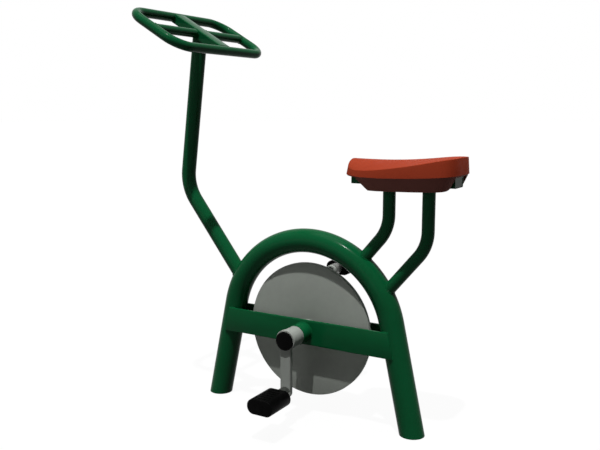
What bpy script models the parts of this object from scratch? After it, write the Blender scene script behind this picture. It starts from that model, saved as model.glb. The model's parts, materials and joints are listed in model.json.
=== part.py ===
"""Outdoor fitness bike: a bent tube arch that carries a disc and cranks, a ring handlebar and a seat.

Metres, +Z up. The arch lies in the plane Y = 0 and stands on Z = 0, the handlebar is at -X and the seat
at +X. The crank axle runs along Y. The side called near is the one at -Y.
"""
import math

import bmesh
import bpy
from mathutils import Matrix, Vector

# Clearances and cuts
FIT_GAP = 0.0003
CUT_OVERRUN = 0.004
EDGE_BREAK = 0.001
SMOOTH_ANGLE = math.radians(35)

# Arch
ARCH_TUBE_DIAMETER = 0.0761
ARCH_TUBE_WALL = 0.0032
ARCH_LINE_HEIGHT = 0.5643
ARCH_BEND_RADIUS = 0.2915
ARCH_SPLAY = math.radians(12.3)
FOOT_PLATE_THICKNESS = 0.005

# Side bars and bearing housings
SIDE_BAR_DEPTH = 0.080
SIDE_BAR_THICKNESS = 0.008
SIDE_BAR_SPREAD = 0.084
HOUSING_DIAMETER = 0.064
HOUSING_INNER_REACH = 0.030
HOUSING_OUTER_REACH = 0.087
HOUSING_BORE_DIAMETER = 0.044
BEARING_DIAMETER = 0.052
BEARING_WIDTH = 0.015
BEARING_RACE_THICKNESS = 0.0034
SEAL_WIDTH = 0.0024

# Axle and disc
AXLE_HEIGHT = 0.277
AXLE_DIAMETER = 0.025
DISC_DIAMETER = 0.432
DISC_THICKNESS = 0.015
FLANGE_DIAMETER = 0.066
FLANGE_THICKNESS = 0.008
FLANGE_BOSS_DIAMETER = 0.034
FLANGE_BOSS_REACH = 0.028
SPACER_DIAMETER = 0.034
DISC_BOLT_CIRCLE_DIAMETER = 0.050
DISC_BOLT_DIAMETER = 0.006
DISC_BOLT_HEAD_WIDTH = 0.010
DISC_BOLT_HEAD_HEIGHT = 0.004
DISC_BOLT_COUNT = 4

# Cranks
CRANK_LENGTH = 0.165
CRANK_BOSS_DIAMETER = 0.062
CRANK_BOSS_INNER_REACH = 0.089
CRANK_ARM_INNER_REACH = 0.136
CRANK_ARM_THICKNESS = 0.014
CRANK_ARM_WIDTH = 0.036
CRANK_ARM_HEAD_DIAMETER = 0.066
CRANK_CAP_DIAMETER = 0.058
CRANK_CAP_THICKNESS = 0.009
CRANK_BOLT_DIAMETER = 0.012
CRANK_BOLT_LENGTH = 0.026
CRANK_BOLT_HEAD_DIAMETER = 0.027
CRANK_BOLT_HEAD_THICKNESS = 0.0055

# Pedals
PEDAL_STANDOFF = 0.0385
PEDAL_LENGTH = 0.1055
PEDAL_WIDTH = 0.088
PEDAL_THICKNESS = 0.047
PEDAL_CORNER_RADIUS = 0.022
SPINDLE_DIAMETER = 0.014
SPINDLE_BOSS_DIAMETER = 0.038
SPINDLE_STUD_DIAMETER = 0.024
PEDAL_SIDE_PLAY = 0.0015
PEDAL_NUT_WIDTH = 0.019
PEDAL_NUT_THICKNESS = 0.007
PEDAL_CAP_DIAMETER = 0.028
PEDAL_CAP_THICKNESS = 0.004
PEDAL_POCKET_DEPTH = 0.014

# Handlebar post and ring
POST_DIAMETER = 0.0483
POST_WALL = 0.003
POST_BEND_RADIUS = 0.140
POST_BEND_BEFORE_AXLE = 0.4886
POST_BEND_HEIGHT = 0.7122
POST_FOOT_SLOPE = math.radians(37.7)
RING_BEFORE_AXLE = 0.4206
RING_HEIGHT = 1.220
RING_TILT = math.radians(30.6)
RING_SPAN_ALONG = 0.227
RING_SPAN_ACROSS = 0.460
RING_CORNER_RADIUS = 0.062
RING_TUBE_DIAMETER = 0.030
RING_TUBE_WALL = 0.0026
CENTRE_TUBE_WIDTH = 0.050
CENTRE_TUBE_WALL = 0.0026
CENTRE_TUBE_STOP = 0.008
CROSS_TUBE_DIAMETER = 0.028
CROSS_TUBE_WALL = 0.0026
VENT_HOLE_DIAMETER = 0.008

# Seat posts and seat bar
SEAT_POST_DIAMETER = 0.038
SEAT_POST_WALL = 0.003
SEAT_POST_BEND_RADIUS = 0.120
SEAT_POST_FOOT_SLOPE = math.radians(40.2)
FRONT_POST_BEHIND_AXLE = 0.2697
FRONT_POST_DROP = 0.1342
REAR_POST_BEHIND_AXLE = 0.3932
REAR_POST_DROP = 0.1751
SEAT_BAR_HEIGHT = 0.7565
SEAT_BAR_DEPTH = 0.030
SEAT_BAR_WIDTH = 0.066
SEAT_BAR_WALL = 0.0025
SEAT_BAR_FRONT = 0.1605
SEAT_BAR_REAR = 0.481

# Seat
SEAT_NOSE = 0.1445
SEAT_MIDDLE = 0.335
SEAT_TAIL = 0.493
SEAT_WIDTH = 0.222
SEAT_NOSE_TAPER_SHARE = 0.515
SEAT_TAPER_POWER = 2.6
SEAT_NOSE_POWER = 7.0
SEAT_TAIL_POWER = 4.0
SEAT_RIM_DIP = 0.218
SEAT_RIM_DIP_RISE = -0.006
SEAT_RIM_NOSE_RISE = -0.0015
SEAT_RIM_TAIL_RISE = 0.007
SEAT_RIM_POWER = 1.6
SEAT_CREASE_NOSE_RISE = 0.0045
SEAT_CREASE_TAIL_RISE = 0.0555
SEAT_CREASE_POWER = 1.4
SEAT_CREASE_INSET = 0.003
SEAT_TOP_NOSE_RISE = 0.0437
SEAT_TOP_TAIL_RISE = 0.062
SEAT_TOP_SAG = 0.0087
SEAT_NOSE_SLANT = 0.0035
SEAT_TAIL_ROLL = 0.006
SEAT_EDGE_POWER = 8
SEAT_COVER_WALL = 0.004
SEAT_BASE_INSET = 0.002
SEAT_BASE_LIP = 0.003
SEAT_BASE_STEP = 0.006
SEAT_BASE_DRAFT = 0.0015
SEAT_BASE_SHEET = 0.004
SEAT_SKIRT_DEPTH = 0.0365
SEAT_SKIRT_LEAN = 0.018
SEAT_SKIRT_WALL = 0.004
SEAT_BOLT_DIAMETER = 0.008
SEAT_BOLT_HEAD_WIDTH = 0.013
SEAT_BOLT_HEAD_HEIGHT = 0.005
SEAT_BOLT_STICK_OUT = 0.003
SEAT_NUT_HEIGHT = 0.0065
SEAT_BOLT_SPACING_ACROSS = 0.034
SEAT_BOLT_FRONT = 0.215
SEAT_BOLT_REAR = 0.445

# Stations round the seat: share of the way from its middle to its nose (-1) or tail (1), skirt depth share
SEAT_STATION_SHARES = (
    (-1.0, 0.0), (-0.9985, 0.0), (-0.99, 0.0), (-0.965, 0.0), (-0.91, 0.0), (-0.79, 0.0), (-0.72, 0.5),
    (-0.65, 1.0), (-0.45, 1.0), (-0.25, 0.98), (-0.05, 0.98), (0.2, 0.99), (0.4, 1.0),
    (0.6, 1.01), (0.75, 1.03), (0.83, 1.04), (0.88, 1.04), (0.925, 1.03), (0.955, 1.0), (0.978, 0.9),
    (0.99, 0.0), (0.999, 0.0), (1.0, 0.0))
# Share of the plan outline kept at each ring of the seat's top, from the shoulder line to the middle
SEAT_TOP_RING_SHARES = (0.94, 0.86, 0.74, 0.58, 0.40, 0.20)

# Facets
ARCH_SIDES = 28
ARCH_BEND_STEPS = 24
POST_SIDES = 20
POST_BEND_STEPS = 8
RING_SIDES = 16
RING_CORNER_STEPS = 7
BORE_SIDES = 12
DISC_STEPS = 64
ROUND_STEPS = 28
HIDDEN_STEPS = 18
HEX_STEPS = 12

SIDES = {"near": -1.0, "far": 1.0}


def handle_front_reach():
    """Distance from the axle to the front of the handlebar ring."""
    return RING_BEFORE_AXLE + RING_SPAN_ALONG / 2 * math.cos(RING_TILT) + RING_TUBE_DIAMETER / 2


# The model's origin is on the ground, half way between the ring's front and the seat's tail
AXLE_X = (handle_front_reach() - SEAT_TAIL) / 2


def material(name, colour, roughness, metallic):
    """Principled material from a linear colour."""
    made = bpy.data.materials.get(name)
    if made is None:
        made = bpy.data.materials.new(name)
        made.use_nodes = True
        shader = made.node_tree.nodes["Principled BSDF"]
        shader.inputs["Base Color"].default_value = (*colour, 1.0)
        shader.inputs["Roughness"].default_value = roughness
        shader.inputs["Metallic"].default_value = metallic
    return made


def green_paint():
    return material("green_powder_coat", (0.002, 0.118, 0.040), 0.32, 0.0)


def grey_steel():
    return material("grey_zinc_steel", (0.20, 0.21, 0.20), 0.38, 0.9)


def bright_steel():
    return material("bright_ground_steel", (0.55, 0.56, 0.55), 0.25, 1.0)


def black_plastic():
    return material("black_moulded_plastic", (0.006, 0.006, 0.006), 0.45, 0.0)


def black_rubber():
    return material("black_rubber", (0.012, 0.012, 0.012), 0.8, 0.0)


def orange_plastic():
    return material("orange_red_moulded_plastic", (0.42, 0.055, 0.022), 0.42, 0.0)


def maroon_plastic():
    return material("maroon_moulded_plastic", (0.045, 0.014, 0.013), 0.6, 0.0)


def finish(bm, name, paint, parent, bore=()):
    """Turns a bmesh into a named object with outward faces; a closed bore's faces look into it."""
    bmesh.ops.recalc_face_normals(bm, faces=bm.faces)
    bmesh.ops.reverse_faces(bm, faces=list(bore))
    mesh = bpy.data.meshes.new(name)
    bm.to_mesh(mesh)
    bm.free()
    mesh.shade_smooth()
    mesh.set_sharp_from_angle(angle=SMOOTH_ANGLE)
    made = bpy.data.objects.new(name, mesh)
    made.data.materials.append(paint)
    bpy.context.collection.objects.link(made)
    made.parent = parent
    return made


def empty(name, location, parent=None):
    """Empty that carries one moving or fixed group."""
    made = bpy.data.objects.new(name, None)
    made.location = location
    made.parent = parent
    bpy.context.collection.objects.link(made)
    return made


def as_cutter(made):
    """Marks an object as a cutter that is not part of the model."""
    made.hide_render = True
    made.display_type = "WIRE"
    return made


def cut(target, cutter):
    """Takes the cutter's volume away from the target."""
    step = target.modifiers.new("cut_" + cutter.name, "BOOLEAN")
    step.operation = "DIFFERENCE"
    step.solver = "EXACT"
    step.object = cutter
    return target


def ring_of_points(centre, along, side, radius, count):
    """Points of a circle about an axis, starting at the side direction."""
    other = along.cross(side)
    angles = [2 * math.pi * i / count for i in range(count)]
    return [centre + radius * (math.cos(a) * side + math.sin(a) * other) for a in angles]


def path_tangents(points, closed):
    """Unit direction of travel at each point of a path."""
    count = len(points)
    found = []
    for i in range(count):
        before = points[i - 1] if closed or i > 0 else points[i]
        after = points[(i + 1) % count] if closed or i < count - 1 else points[i]
        back = (points[i] - before).normalized() if before != points[i] else Vector()
        ahead = (after - points[i]).normalized() if after != points[i] else Vector()
        found.append((back + ahead).normalized())
    return found


def swept_rings(bm, points, side, radius, count, closed, flat_ends=False):
    """Circles of a tube along a plane path; flat_ends drops the end circles onto level planes."""
    rings = []
    tangents = path_tangents(points, closed)
    for i, (point, along) in enumerate(zip(points, tangents)):
        circle = ring_of_points(point, along, side, radius, count)
        if flat_ends and i in (0, len(points) - 1):
            circle = [c + along * ((point.z - c.z) / along.z) for c in circle]
        rings.append([bm.verts.new(c) for c in circle])
    return rings


def bridge(bm, first, second):
    """Quads between two rings of the same count."""
    count = len(first)
    made = []
    for i in range(count):
        j = (i + 1) % count
        made.append(bm.faces.new((first[i], first[j], second[j], second[i])))
    return made


def skin(bm, rings, closed):
    """Quads along a row of rings."""
    made = []
    for first, second in zip(rings[:-1], rings[1:]):
        made += bridge(bm, first, second)
    if closed:
        made += bridge(bm, rings[-1], rings[0])
    return made


def bridge_unlike(bm, outer, inner):
    """Triangles between two circles of unlike counts that start at the same angle."""
    step_out = 0
    step_in = 0
    while step_out < len(outer) or step_in < len(inner):
        first = outer[step_out % len(outer)]
        second = inner[step_in % len(inner)]
        if (step_out + 1) * len(inner) <= (step_in + 1) * len(outer):
            step_out += 1
            bm.faces.new((first, outer[step_out % len(outer)], second))
        else:
            step_in += 1
            bm.faces.new((first, inner[step_in % len(inner)], second))


def hollow_tube(name, points, side, diameter, wall, sides, paint, parent, closed=False, flat_ends=False):
    """Bent tube with a bore, open at both ends unless it closes on itself."""
    bm = bmesh.new()
    outer = swept_rings(bm, points, side, diameter / 2, sides, closed, flat_ends)
    inner = swept_rings(bm, points, side, diameter / 2 - wall, BORE_SIDES, closed, flat_ends)
    skin(bm, outer, closed)
    bore = skin(bm, inner, closed)
    if closed:
        return finish(bm, name, paint, parent, bore)
    bridge_unlike(bm, outer[0], inner[0])
    bridge_unlike(bm, outer[-1], inner[-1])
    return finish(bm, name, paint, parent)


def solid_rod(name, points, side, diameter, sides, paint, parent, flat_ends=False):
    """Solid round bar along a plane path."""
    bm = bmesh.new()
    rings = swept_rings(bm, points, side, diameter / 2, sides, False, flat_ends)
    skin(bm, rings, False)
    bm.faces.new(rings[0])
    bm.faces.new(rings[-1])
    return finish(bm, name, paint, parent)


def closed_rod(name, points, side, diameter, sides, paint, parent):
    """Solid round bar along a path that closes on itself."""
    bm = bmesh.new()
    rings = swept_rings(bm, points, side, diameter / 2, sides, True)
    skin(bm, rings, True)
    return finish(bm, name, paint, parent)


def turned(name, profile, steps, paint, parent, place=None):
    """Turned piece: (radius, height) corners about local Z, with a bore where no radius is zero."""
    bm = bmesh.new()
    rings = []
    for radius, height in profile:
        if radius == 0:
            rings.append([bm.verts.new((0.0, 0.0, height))])
            continue
        centre = Vector((0.0, 0.0, height))
        circle = ring_of_points(centre, Vector((0.0, 0.0, 1.0)), Vector((1.0, 0.0, 0.0)), radius, steps)
        rings.append([bm.verts.new(c) for c in circle])
    through = all(len(ring) > 1 for ring in rings)
    pairs = list(zip(rings[:-1], rings[1:]))
    if through:
        pairs.append((rings[-1], rings[0]))
    for first, second in pairs:
        join_rings(bm, first, second)
    made = finish(bm, name, paint, parent)
    if place is not None:
        made.matrix_local = place
    return made


def join_rings(bm, first, second):
    """Quads between two rings, or a fan where one of them is a single point."""
    if len(first) == 1 or len(second) == 1:
        tip = first[0] if len(first) == 1 else second[0]
        loop = second if len(first) == 1 else first
        for i, vert in enumerate(loop):
            bm.faces.new((tip, vert, loop[(i + 1) % len(loop)]))
        return
    bridge(bm, first, second)


def outward(side_name):
    """Turn that points local Z away from the bike's middle plane on one side."""
    return Matrix.Rotation(-SIDES[side_name] * math.pi / 2, 4, "X")


def drill(name, diameter, low, high, parent, place, steps=ROUND_STEPS):
    """Round cutter from one height to another along local Z."""
    profile = [(0, low), (diameter / 2, low), (diameter / 2, high), (0, high)]
    return as_cutter(turned(name, profile, steps, grey_steel(), parent, place))


def hex_radii(width):
    """Radii of a hexagon's corners and mid sides, twelve in all."""
    return [width / 2 / math.cos(math.radians(30)) if i % 2 == 0 else width / 2 for i in range(HEX_STEPS)]


def stacked(name, rings, paint, parent, place):
    """Solid made of rings of twelve points, each with its own radii, and closed at both ends."""
    bm = bmesh.new()
    loops = []
    for radii, height in rings:
        loop = []
        for i, radius in enumerate(radii):
            angle = 2 * math.pi * i / HEX_STEPS
            loop.append(bm.verts.new((radius * math.cos(angle), radius * math.sin(angle), height)))
        loops.append(loop)
    skin(bm, loops, False)
    bm.faces.new(loops[0])
    bm.faces.new(loops[-1])
    made = finish(bm, name, paint, parent)
    made.matrix_local = place
    return made


def hex_bolt(name, diameter, length, head_width, head_height, parent, place):
    """Bolt with its head's underside at local Z = 0 and its shank along +Z."""
    shank = [diameter / 2] * HEX_STEPS
    tip = [diameter / 2 - EDGE_BREAK] * HEX_STEPS
    head = hex_radii(head_width)
    top = [radius - EDGE_BREAK for radius in head]
    rings = [(top, -head_height), (head, EDGE_BREAK - head_height), (head, 0.0), (shank, 0.0)]
    rings += [(shank, length - EDGE_BREAK), (tip, length)]
    return stacked(name, rings, bright_steel(), parent, place)


def hex_nut(name, bore, width, height, parent, place):
    """Hexagon nut from local Z = 0 upwards."""
    bm = bmesh.new()
    outer = hex_radii(width)
    inner = [bore / 2] * HEX_STEPS
    loops = []
    for radii, level in ((outer, 0.0), (outer, height), (inner, height), (inner, 0.0)):
        loop = []
        for i, radius in enumerate(radii):
            angle = 2 * math.pi * i / HEX_STEPS
            loop.append(bm.verts.new((radius * math.cos(angle), radius * math.sin(angle), level)))
        loops.append(loop)
    skin(bm, loops, True)
    made = finish(bm, name, bright_steel(), parent)
    made.matrix_local = place
    return made


def box(name, low, high, paint, parent):
    """Block between two corners."""
    bm = bmesh.new()
    bmesh.ops.create_cube(bm, size=1.0)
    for vert in bm.verts:
        vert.co = Vector(low[i] if vert.co[i] < 0 else high[i] for i in range(3))
    return finish(bm, name, paint, parent)


def plate(name, outline, low, high, paint, parent):
    """Plate in the X-Z plane from one Y to another."""
    bm = bmesh.new()
    loops = [[bm.verts.new((x, y, z)) for x, z in outline] for y in (low, high)]
    bridge(bm, loops[0], loops[1])
    bm.faces.new(loops[0])
    bm.faces.new(loops[1])
    return finish(bm, name, paint, parent)


def arc_points(centre, radius, start, stop, steps):
    """Points (X, Z) of an arc, both ends included."""
    angles = [start + (stop - start) * i / steps for i in range(steps + 1)]
    return [(centre[0] + radius * math.cos(a), centre[1] + radius * math.sin(a)) for a in angles]


ARCH_CENTRE_Z = ARCH_LINE_HEIGHT - ARCH_BEND_RADIUS
LEG_TOP_X = ARCH_BEND_RADIUS * math.cos(ARCH_SPLAY)
LEG_TOP_Z = ARCH_CENTRE_Z + ARCH_BEND_RADIUS * math.sin(ARCH_SPLAY)
FOOT_X = LEG_TOP_X + LEG_TOP_Z * math.tan(ARCH_SPLAY)


def leg_line_x(height):
    """Distance of a leg's middle line from the axle at a height."""
    return FOOT_X - height * math.tan(ARCH_SPLAY)


def arch_path(overrun=0.0):
    """Middle line of the arch from the front foot to the rear foot."""
    middle = (0.0, ARCH_CENTRE_Z)
    bend = arc_points(middle, ARCH_BEND_RADIUS, math.pi - ARCH_SPLAY, ARCH_SPLAY, ARCH_BEND_STEPS)
    foot = FOOT_X + overrun * math.tan(ARCH_SPLAY)
    points = [(-foot, -overrun)] + bend + [(foot, -overrun)]
    return [Vector((AXLE_X + x, 0.0, z)) for x, z in points]


def side_direction():
    """Direction along the crank axle, square to every path in the middle plane."""
    return Vector((0.0, 1.0, 0.0))


def build_arch(frame):
    """The bent arch tube and the plates that close its feet."""
    hollow_tube("arch_tube", arch_path(), side_direction(), ARCH_TUBE_DIAMETER, ARCH_TUBE_WALL,
                ARCH_SIDES, green_paint(), frame, flat_ends=True)
    plate_diameter = ARCH_TUBE_DIAMETER - 2 * ARCH_TUBE_WALL - 2 * FIT_GAP
    for name, sign in (("foot_plate_front", -1.0), ("foot_plate_rear", 1.0)):
        low = Vector((AXLE_X + sign * FOOT_X, 0.0, 0.0))
        high = Vector((AXLE_X + sign * leg_line_x(FOOT_PLATE_THICKNESS), 0.0, FOOT_PLATE_THICKNESS))
        solid_rod(name, [low, high], side_direction(), plate_diameter, BORE_SIDES, green_paint(), frame,
                  flat_ends=True)


def arch_cutter(frame):
    """Solid of the arch with the fitting gap round it."""
    made = solid_rod("cutter_arch", arch_path(CUT_OVERRUN), side_direction(),
                     ARCH_TUBE_DIAMETER + 2 * FIT_GAP, ARCH_SIDES, green_paint(), frame)
    return as_cutter(made)


def build_side_bars(frame, arch):
    """The two flat bars that join the legs and carry the bearing housings."""
    high = AXLE_HEIGHT + SIDE_BAR_DEPTH / 2
    low = AXLE_HEIGHT - SIDE_BAR_DEPTH / 2
    corners = [(1, low), (1, high), (-1, high), (-1, low)]
    outline = [(AXLE_X + sign * leg_line_x(z), z) for sign, z in corners]
    reach = SIDE_BAR_SPREAD / 2
    for side_name, sign in SIDES.items():
        faces = sorted((sign * reach, sign * (reach - SIDE_BAR_THICKNESS)))
        bar = plate("side_bar_" + side_name, outline, faces[0], faces[1], green_paint(), frame)
        hole = drill("cutter_bar_hole_" + side_name, HOUSING_DIAMETER + 2 * FIT_GAP,
                     reach - SIDE_BAR_THICKNESS - CUT_OVERRUN, reach + CUT_OVERRUN, frame,
                     Matrix.Translation((AXLE_X, 0.0, AXLE_HEIGHT)) @ outward(side_name))
        cut(bar, arch)
        cut(bar, hole)


def axle_place(side_name):
    """Place of a turned piece on the crank axle, its local Z pointing outwards."""
    return Matrix.Translation((AXLE_X, 0.0, AXLE_HEIGHT)) @ outward(side_name)


def bearing_inner_reach():
    """Distance of the bearing's inner face from the middle plane."""
    return HOUSING_OUTER_REACH - FIT_GAP - SEAL_WIDTH - FIT_GAP - BEARING_WIDTH


def build_housings(frame):
    """Bearing housings with the fixed races and the seals."""
    outer = HOUSING_DIAMETER / 2
    bore = HOUSING_BORE_DIAMETER / 2
    seat = BEARING_DIAMETER / 2 + FIT_GAP
    shoulder = bearing_inner_reach() - FIT_GAP
    for side_name in SIDES:
        place = axle_place(side_name)
        profile = [(bore, HOUSING_INNER_REACH), (outer - EDGE_BREAK, HOUSING_INNER_REACH),
                   (outer, HOUSING_INNER_REACH + EDGE_BREAK), (outer, HOUSING_OUTER_REACH - EDGE_BREAK),
                   (outer - EDGE_BREAK, HOUSING_OUTER_REACH), (seat, HOUSING_OUTER_REACH),
                   (seat, shoulder), (bore, shoulder)]
        turned("bearing_housing_" + side_name, profile, ROUND_STEPS, green_paint(), frame, place)
        low = bearing_inner_reach()
        high = low + BEARING_WIDTH
        race = BEARING_DIAMETER / 2
        profile = [(race - BEARING_RACE_THICKNESS, low), (race, low), (race, high),
                   (race - BEARING_RACE_THICKNESS, high)]
        turned("bearing_outer_race_" + side_name, profile, HIDDEN_STEPS, bright_steel(), frame, place)
        low = high + FIT_GAP
        high = low + SEAL_WIDTH
        lip = AXLE_DIAMETER / 2 + FIT_GAP
        profile = [(lip, low), (race, low), (race, high), (lip, high)]
        turned("dust_seal_" + side_name, profile, HIDDEN_STEPS, black_rubber(), frame, place)


def build_axle(crank):
    """Crank axle with a threaded hole in each end."""
    end = CRANK_ARM_INNER_REACH + CRANK_ARM_THICKNESS - CRANK_BOLT_HEAD_THICKNESS - 3 * FIT_GAP
    radius = AXLE_DIAMETER / 2
    thread = CRANK_BOLT_DIAMETER / 2 + FIT_GAP
    bottom = end - CRANK_BOLT_LENGTH - CUT_OVERRUN
    profile = [(0, bottom), (thread, bottom), (thread, end), (radius - EDGE_BREAK, end),
               (radius, end - EDGE_BREAK)]
    profile += [(r, -z) for r, z in reversed(profile)]
    turned("crank_axle", profile, HIDDEN_STEPS, bright_steel(), crank, outward("near"))


def disc_bolt_places():
    """Angles of the bolts round the axle."""
    return [2 * math.pi * (i + 0.5) / DISC_BOLT_COUNT for i in range(DISC_BOLT_COUNT)]


def build_disc(crank):
    """The heavy disc, its two flanges and the bolts through them."""
    bore = AXLE_DIAMETER / 2 + FIT_GAP
    rim = DISC_DIAMETER / 2
    half = DISC_THICKNESS / 2
    profile = [(bore, -half), (rim - EDGE_BREAK, -half), (rim, EDGE_BREAK - half), (rim, half - EDGE_BREAK),
               (rim - EDGE_BREAK, half), (bore, half)]
    pieces = [turned("disc", profile, DISC_STEPS, grey_steel(), crank, outward("near"))]
    low = half + FIT_GAP
    face = low + FLANGE_THICKNESS
    profile = [(bore, low), (FLANGE_DIAMETER / 2, low), (FLANGE_DIAMETER / 2, face - EDGE_BREAK),
               (FLANGE_DIAMETER / 2 - EDGE_BREAK, face), (FLANGE_BOSS_DIAMETER / 2, face),
               (FLANGE_BOSS_DIAMETER / 2, FLANGE_BOSS_REACH), (bore, FLANGE_BOSS_REACH)]
    for side_name in SIDES:
        pieces.append(turned("disc_flange_" + side_name, profile, ROUND_STEPS, grey_steel(), crank,
                             outward(side_name)))
    for number, angle in enumerate(disc_bolt_places(), start=1):
        radius = DISC_BOLT_CIRCLE_DIAMETER / 2
        spot = Matrix.Translation((radius * math.cos(angle), 0.0, radius * math.sin(angle)))
        hole = drill("cutter_disc_bolt_%d" % number, DISC_BOLT_DIAMETER + 2 * FIT_GAP,
                     -face - CUT_OVERRUN, face + CUT_OVERRUN, crank, spot @ outward("near"), HEX_STEPS)
        for piece in pieces:
            cut(piece, hole)
        head = spot @ Matrix.Translation((0.0, -face - FIT_GAP, 0.0)) @ outward("far")
        hex_bolt("disc_bolt_%d" % number, DISC_BOLT_DIAMETER, 2 * face, DISC_BOLT_HEAD_WIDTH,
                 DISC_BOLT_HEAD_HEIGHT, crank, head)


def build_running_rings(crank):
    """Spacer sleeves and the bearing races that turn with the axle."""
    bore = AXLE_DIAMETER / 2 + FIT_GAP
    for side_name in SIDES:
        low = FLANGE_BOSS_REACH + FIT_GAP
        high = bearing_inner_reach() - FIT_GAP
        sleeve = SPACER_DIAMETER / 2
        profile = [(bore, low), (sleeve, low), (sleeve, high), (bore, high)]
        turned("axle_spacer_" + side_name, profile, HIDDEN_STEPS, bright_steel(), crank, outward(side_name))
        low = bearing_inner_reach()
        high = low + BEARING_WIDTH
        race = BEARING_DIAMETER / 2 - BEARING_RACE_THICKNESS - 2 * FIT_GAP
        profile = [(bore, low), (race, low), (race, high), (bore, high)]
        turned("bearing_inner_race_" + side_name, profile, HIDDEN_STEPS, bright_steel(), crank,
               outward(side_name))


def crank_turn(side_name):
    """Half turn that puts the far crank opposite the near one."""
    return Matrix.Rotation(0.0 if side_name == "near" else math.pi, 4, "Y")


def arm_outline():
    """Outline of a crank arm hanging down: head round the axle, straight sides, round end."""
    head = CRANK_ARM_HEAD_DIAMETER / 2
    half = CRANK_ARM_WIDTH / 2
    start = -math.acos(half / head)
    outline = arc_points((0.0, 0.0), head, start, math.pi - start, ROUND_STEPS // 2)
    outline += arc_points((0.0, -CRANK_LENGTH), half, math.pi, 2 * math.pi, ROUND_STEPS // 2)
    return outline


def build_crank(side_name, crank):
    """Boss, arm, fixing bolt and end cap of one crank."""
    sign = SIDES[side_name]
    place = outward(side_name)
    bore = AXLE_DIAMETER / 2 + FIT_GAP
    radius = CRANK_BOSS_DIAMETER / 2
    low = CRANK_BOSS_INNER_REACH
    high = CRANK_ARM_INNER_REACH - FIT_GAP
    profile = [(bore, low), (radius - EDGE_BREAK, low), (radius, low + EDGE_BREAK), (radius, high),
               (bore, high)]
    turned("crank_boss_" + side_name, profile, ROUND_STEPS, grey_steel(), crank, place)
    inner = CRANK_ARM_INNER_REACH
    face = inner + CRANK_ARM_THICKNESS
    faces = sorted((sign * inner, sign * face))
    arm = plate("crank_arm_" + side_name, arm_outline(), faces[0], faces[1], grey_steel(), crank)
    arm.matrix_local = crank_turn(side_name)
    floor = face - CRANK_BOLT_HEAD_THICKNESS - 2 * FIT_GAP
    turn = crank_turn(side_name)
    eye = turn @ Matrix.Translation((0.0, 0.0, -CRANK_LENGTH)) @ place
    back = inner - CUT_OVERRUN
    front = face + CUT_OVERRUN
    cut(arm, drill("cutter_arm_bore_" + side_name, 2 * bore, back, front, crank, place))
    cut(arm, drill("cutter_arm_pocket_" + side_name, CRANK_BOLT_HEAD_DIAMETER + 4 * FIT_GAP, floor, front,
                   crank, place))
    cut(arm, drill("cutter_arm_eye_" + side_name, SPINDLE_STUD_DIAMETER + 2 * FIT_GAP, back, front,
                   crank, eye))
    head = CRANK_BOLT_HEAD_DIAMETER / 2
    seat = floor + FIT_GAP
    top = seat + CRANK_BOLT_HEAD_THICKNESS
    shank = CRANK_BOLT_DIAMETER / 2
    profile = [(0, seat - CRANK_BOLT_LENGTH), (shank, seat - CRANK_BOLT_LENGTH), (shank, seat), (head, seat),
               (head, top - EDGE_BREAK), (head - EDGE_BREAK, top), (0, top)]
    turned("crank_bolt_" + side_name, profile, HIDDEN_STEPS, bright_steel(), crank, place)
    cap = CRANK_CAP_DIAMETER / 2
    low = face + FIT_GAP
    high = low + CRANK_CAP_THICKNESS
    profile = [(0, low), (cap, low), (cap, high - 2 * EDGE_BREAK), (cap - EDGE_BREAK, high - EDGE_BREAK / 2),
               (cap - 3 * EDGE_BREAK, high), (0, high)]
    turned("crank_cap_" + side_name, profile, ROUND_STEPS, black_plastic(), crank, place)


def pedal_inner_reach():
    """Distance of a pedal's inner face from the bike's middle plane."""
    return CRANK_ARM_INNER_REACH + CRANK_ARM_THICKNESS + PEDAL_STANDOFF


def pedal_outline():
    """Rounded section of a pedal block in X and Z."""
    half_x = PEDAL_WIDTH / 2 - PEDAL_CORNER_RADIUS
    half_z = PEDAL_THICKNESS / 2 - PEDAL_CORNER_RADIUS
    outline = []
    for quarter, (sx, sz) in enumerate(((1, 1), (-1, 1), (-1, -1), (1, -1))):
        start = quarter * math.pi / 2
        outline += arc_points((sx * half_x, sz * half_z), PEDAL_CORNER_RADIUS, start, start + math.pi / 2,
                              HIDDEN_STEPS // 3)
    return outline


def build_spindle(side_name, crank):
    """Pedal spindle: stud in the arm, round boss against it, journal through the pedal."""
    inner = CRANK_ARM_INNER_REACH
    face = inner + CRANK_ARM_THICKNESS + FIT_GAP
    stud = SPINDLE_STUD_DIAMETER / 2
    boss = SPINDLE_BOSS_DIAMETER / 2
    journal = SPINDLE_DIAMETER / 2
    shoulder = pedal_inner_reach() - PEDAL_SIDE_PLAY
    end = pedal_inner_reach() + PEDAL_LENGTH - PEDAL_CAP_THICKNESS - 2 * FIT_GAP
    root = inner + EDGE_BREAK
    profile = [(0, root), (stud - EDGE_BREAK, root), (stud, root + EDGE_BREAK), (stud, face),
               (boss, face), (boss, shoulder - EDGE_BREAK), (boss - EDGE_BREAK, shoulder),
               (journal, shoulder), (journal, end - EDGE_BREAK), (journal - EDGE_BREAK, end), (0, end)]
    place = crank_turn(side_name) @ Matrix.Translation((0.0, 0.0, -CRANK_LENGTH)) @ outward(side_name)
    turned("pedal_spindle_" + side_name, profile, HIDDEN_STEPS, bright_steel(), crank, place)


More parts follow.
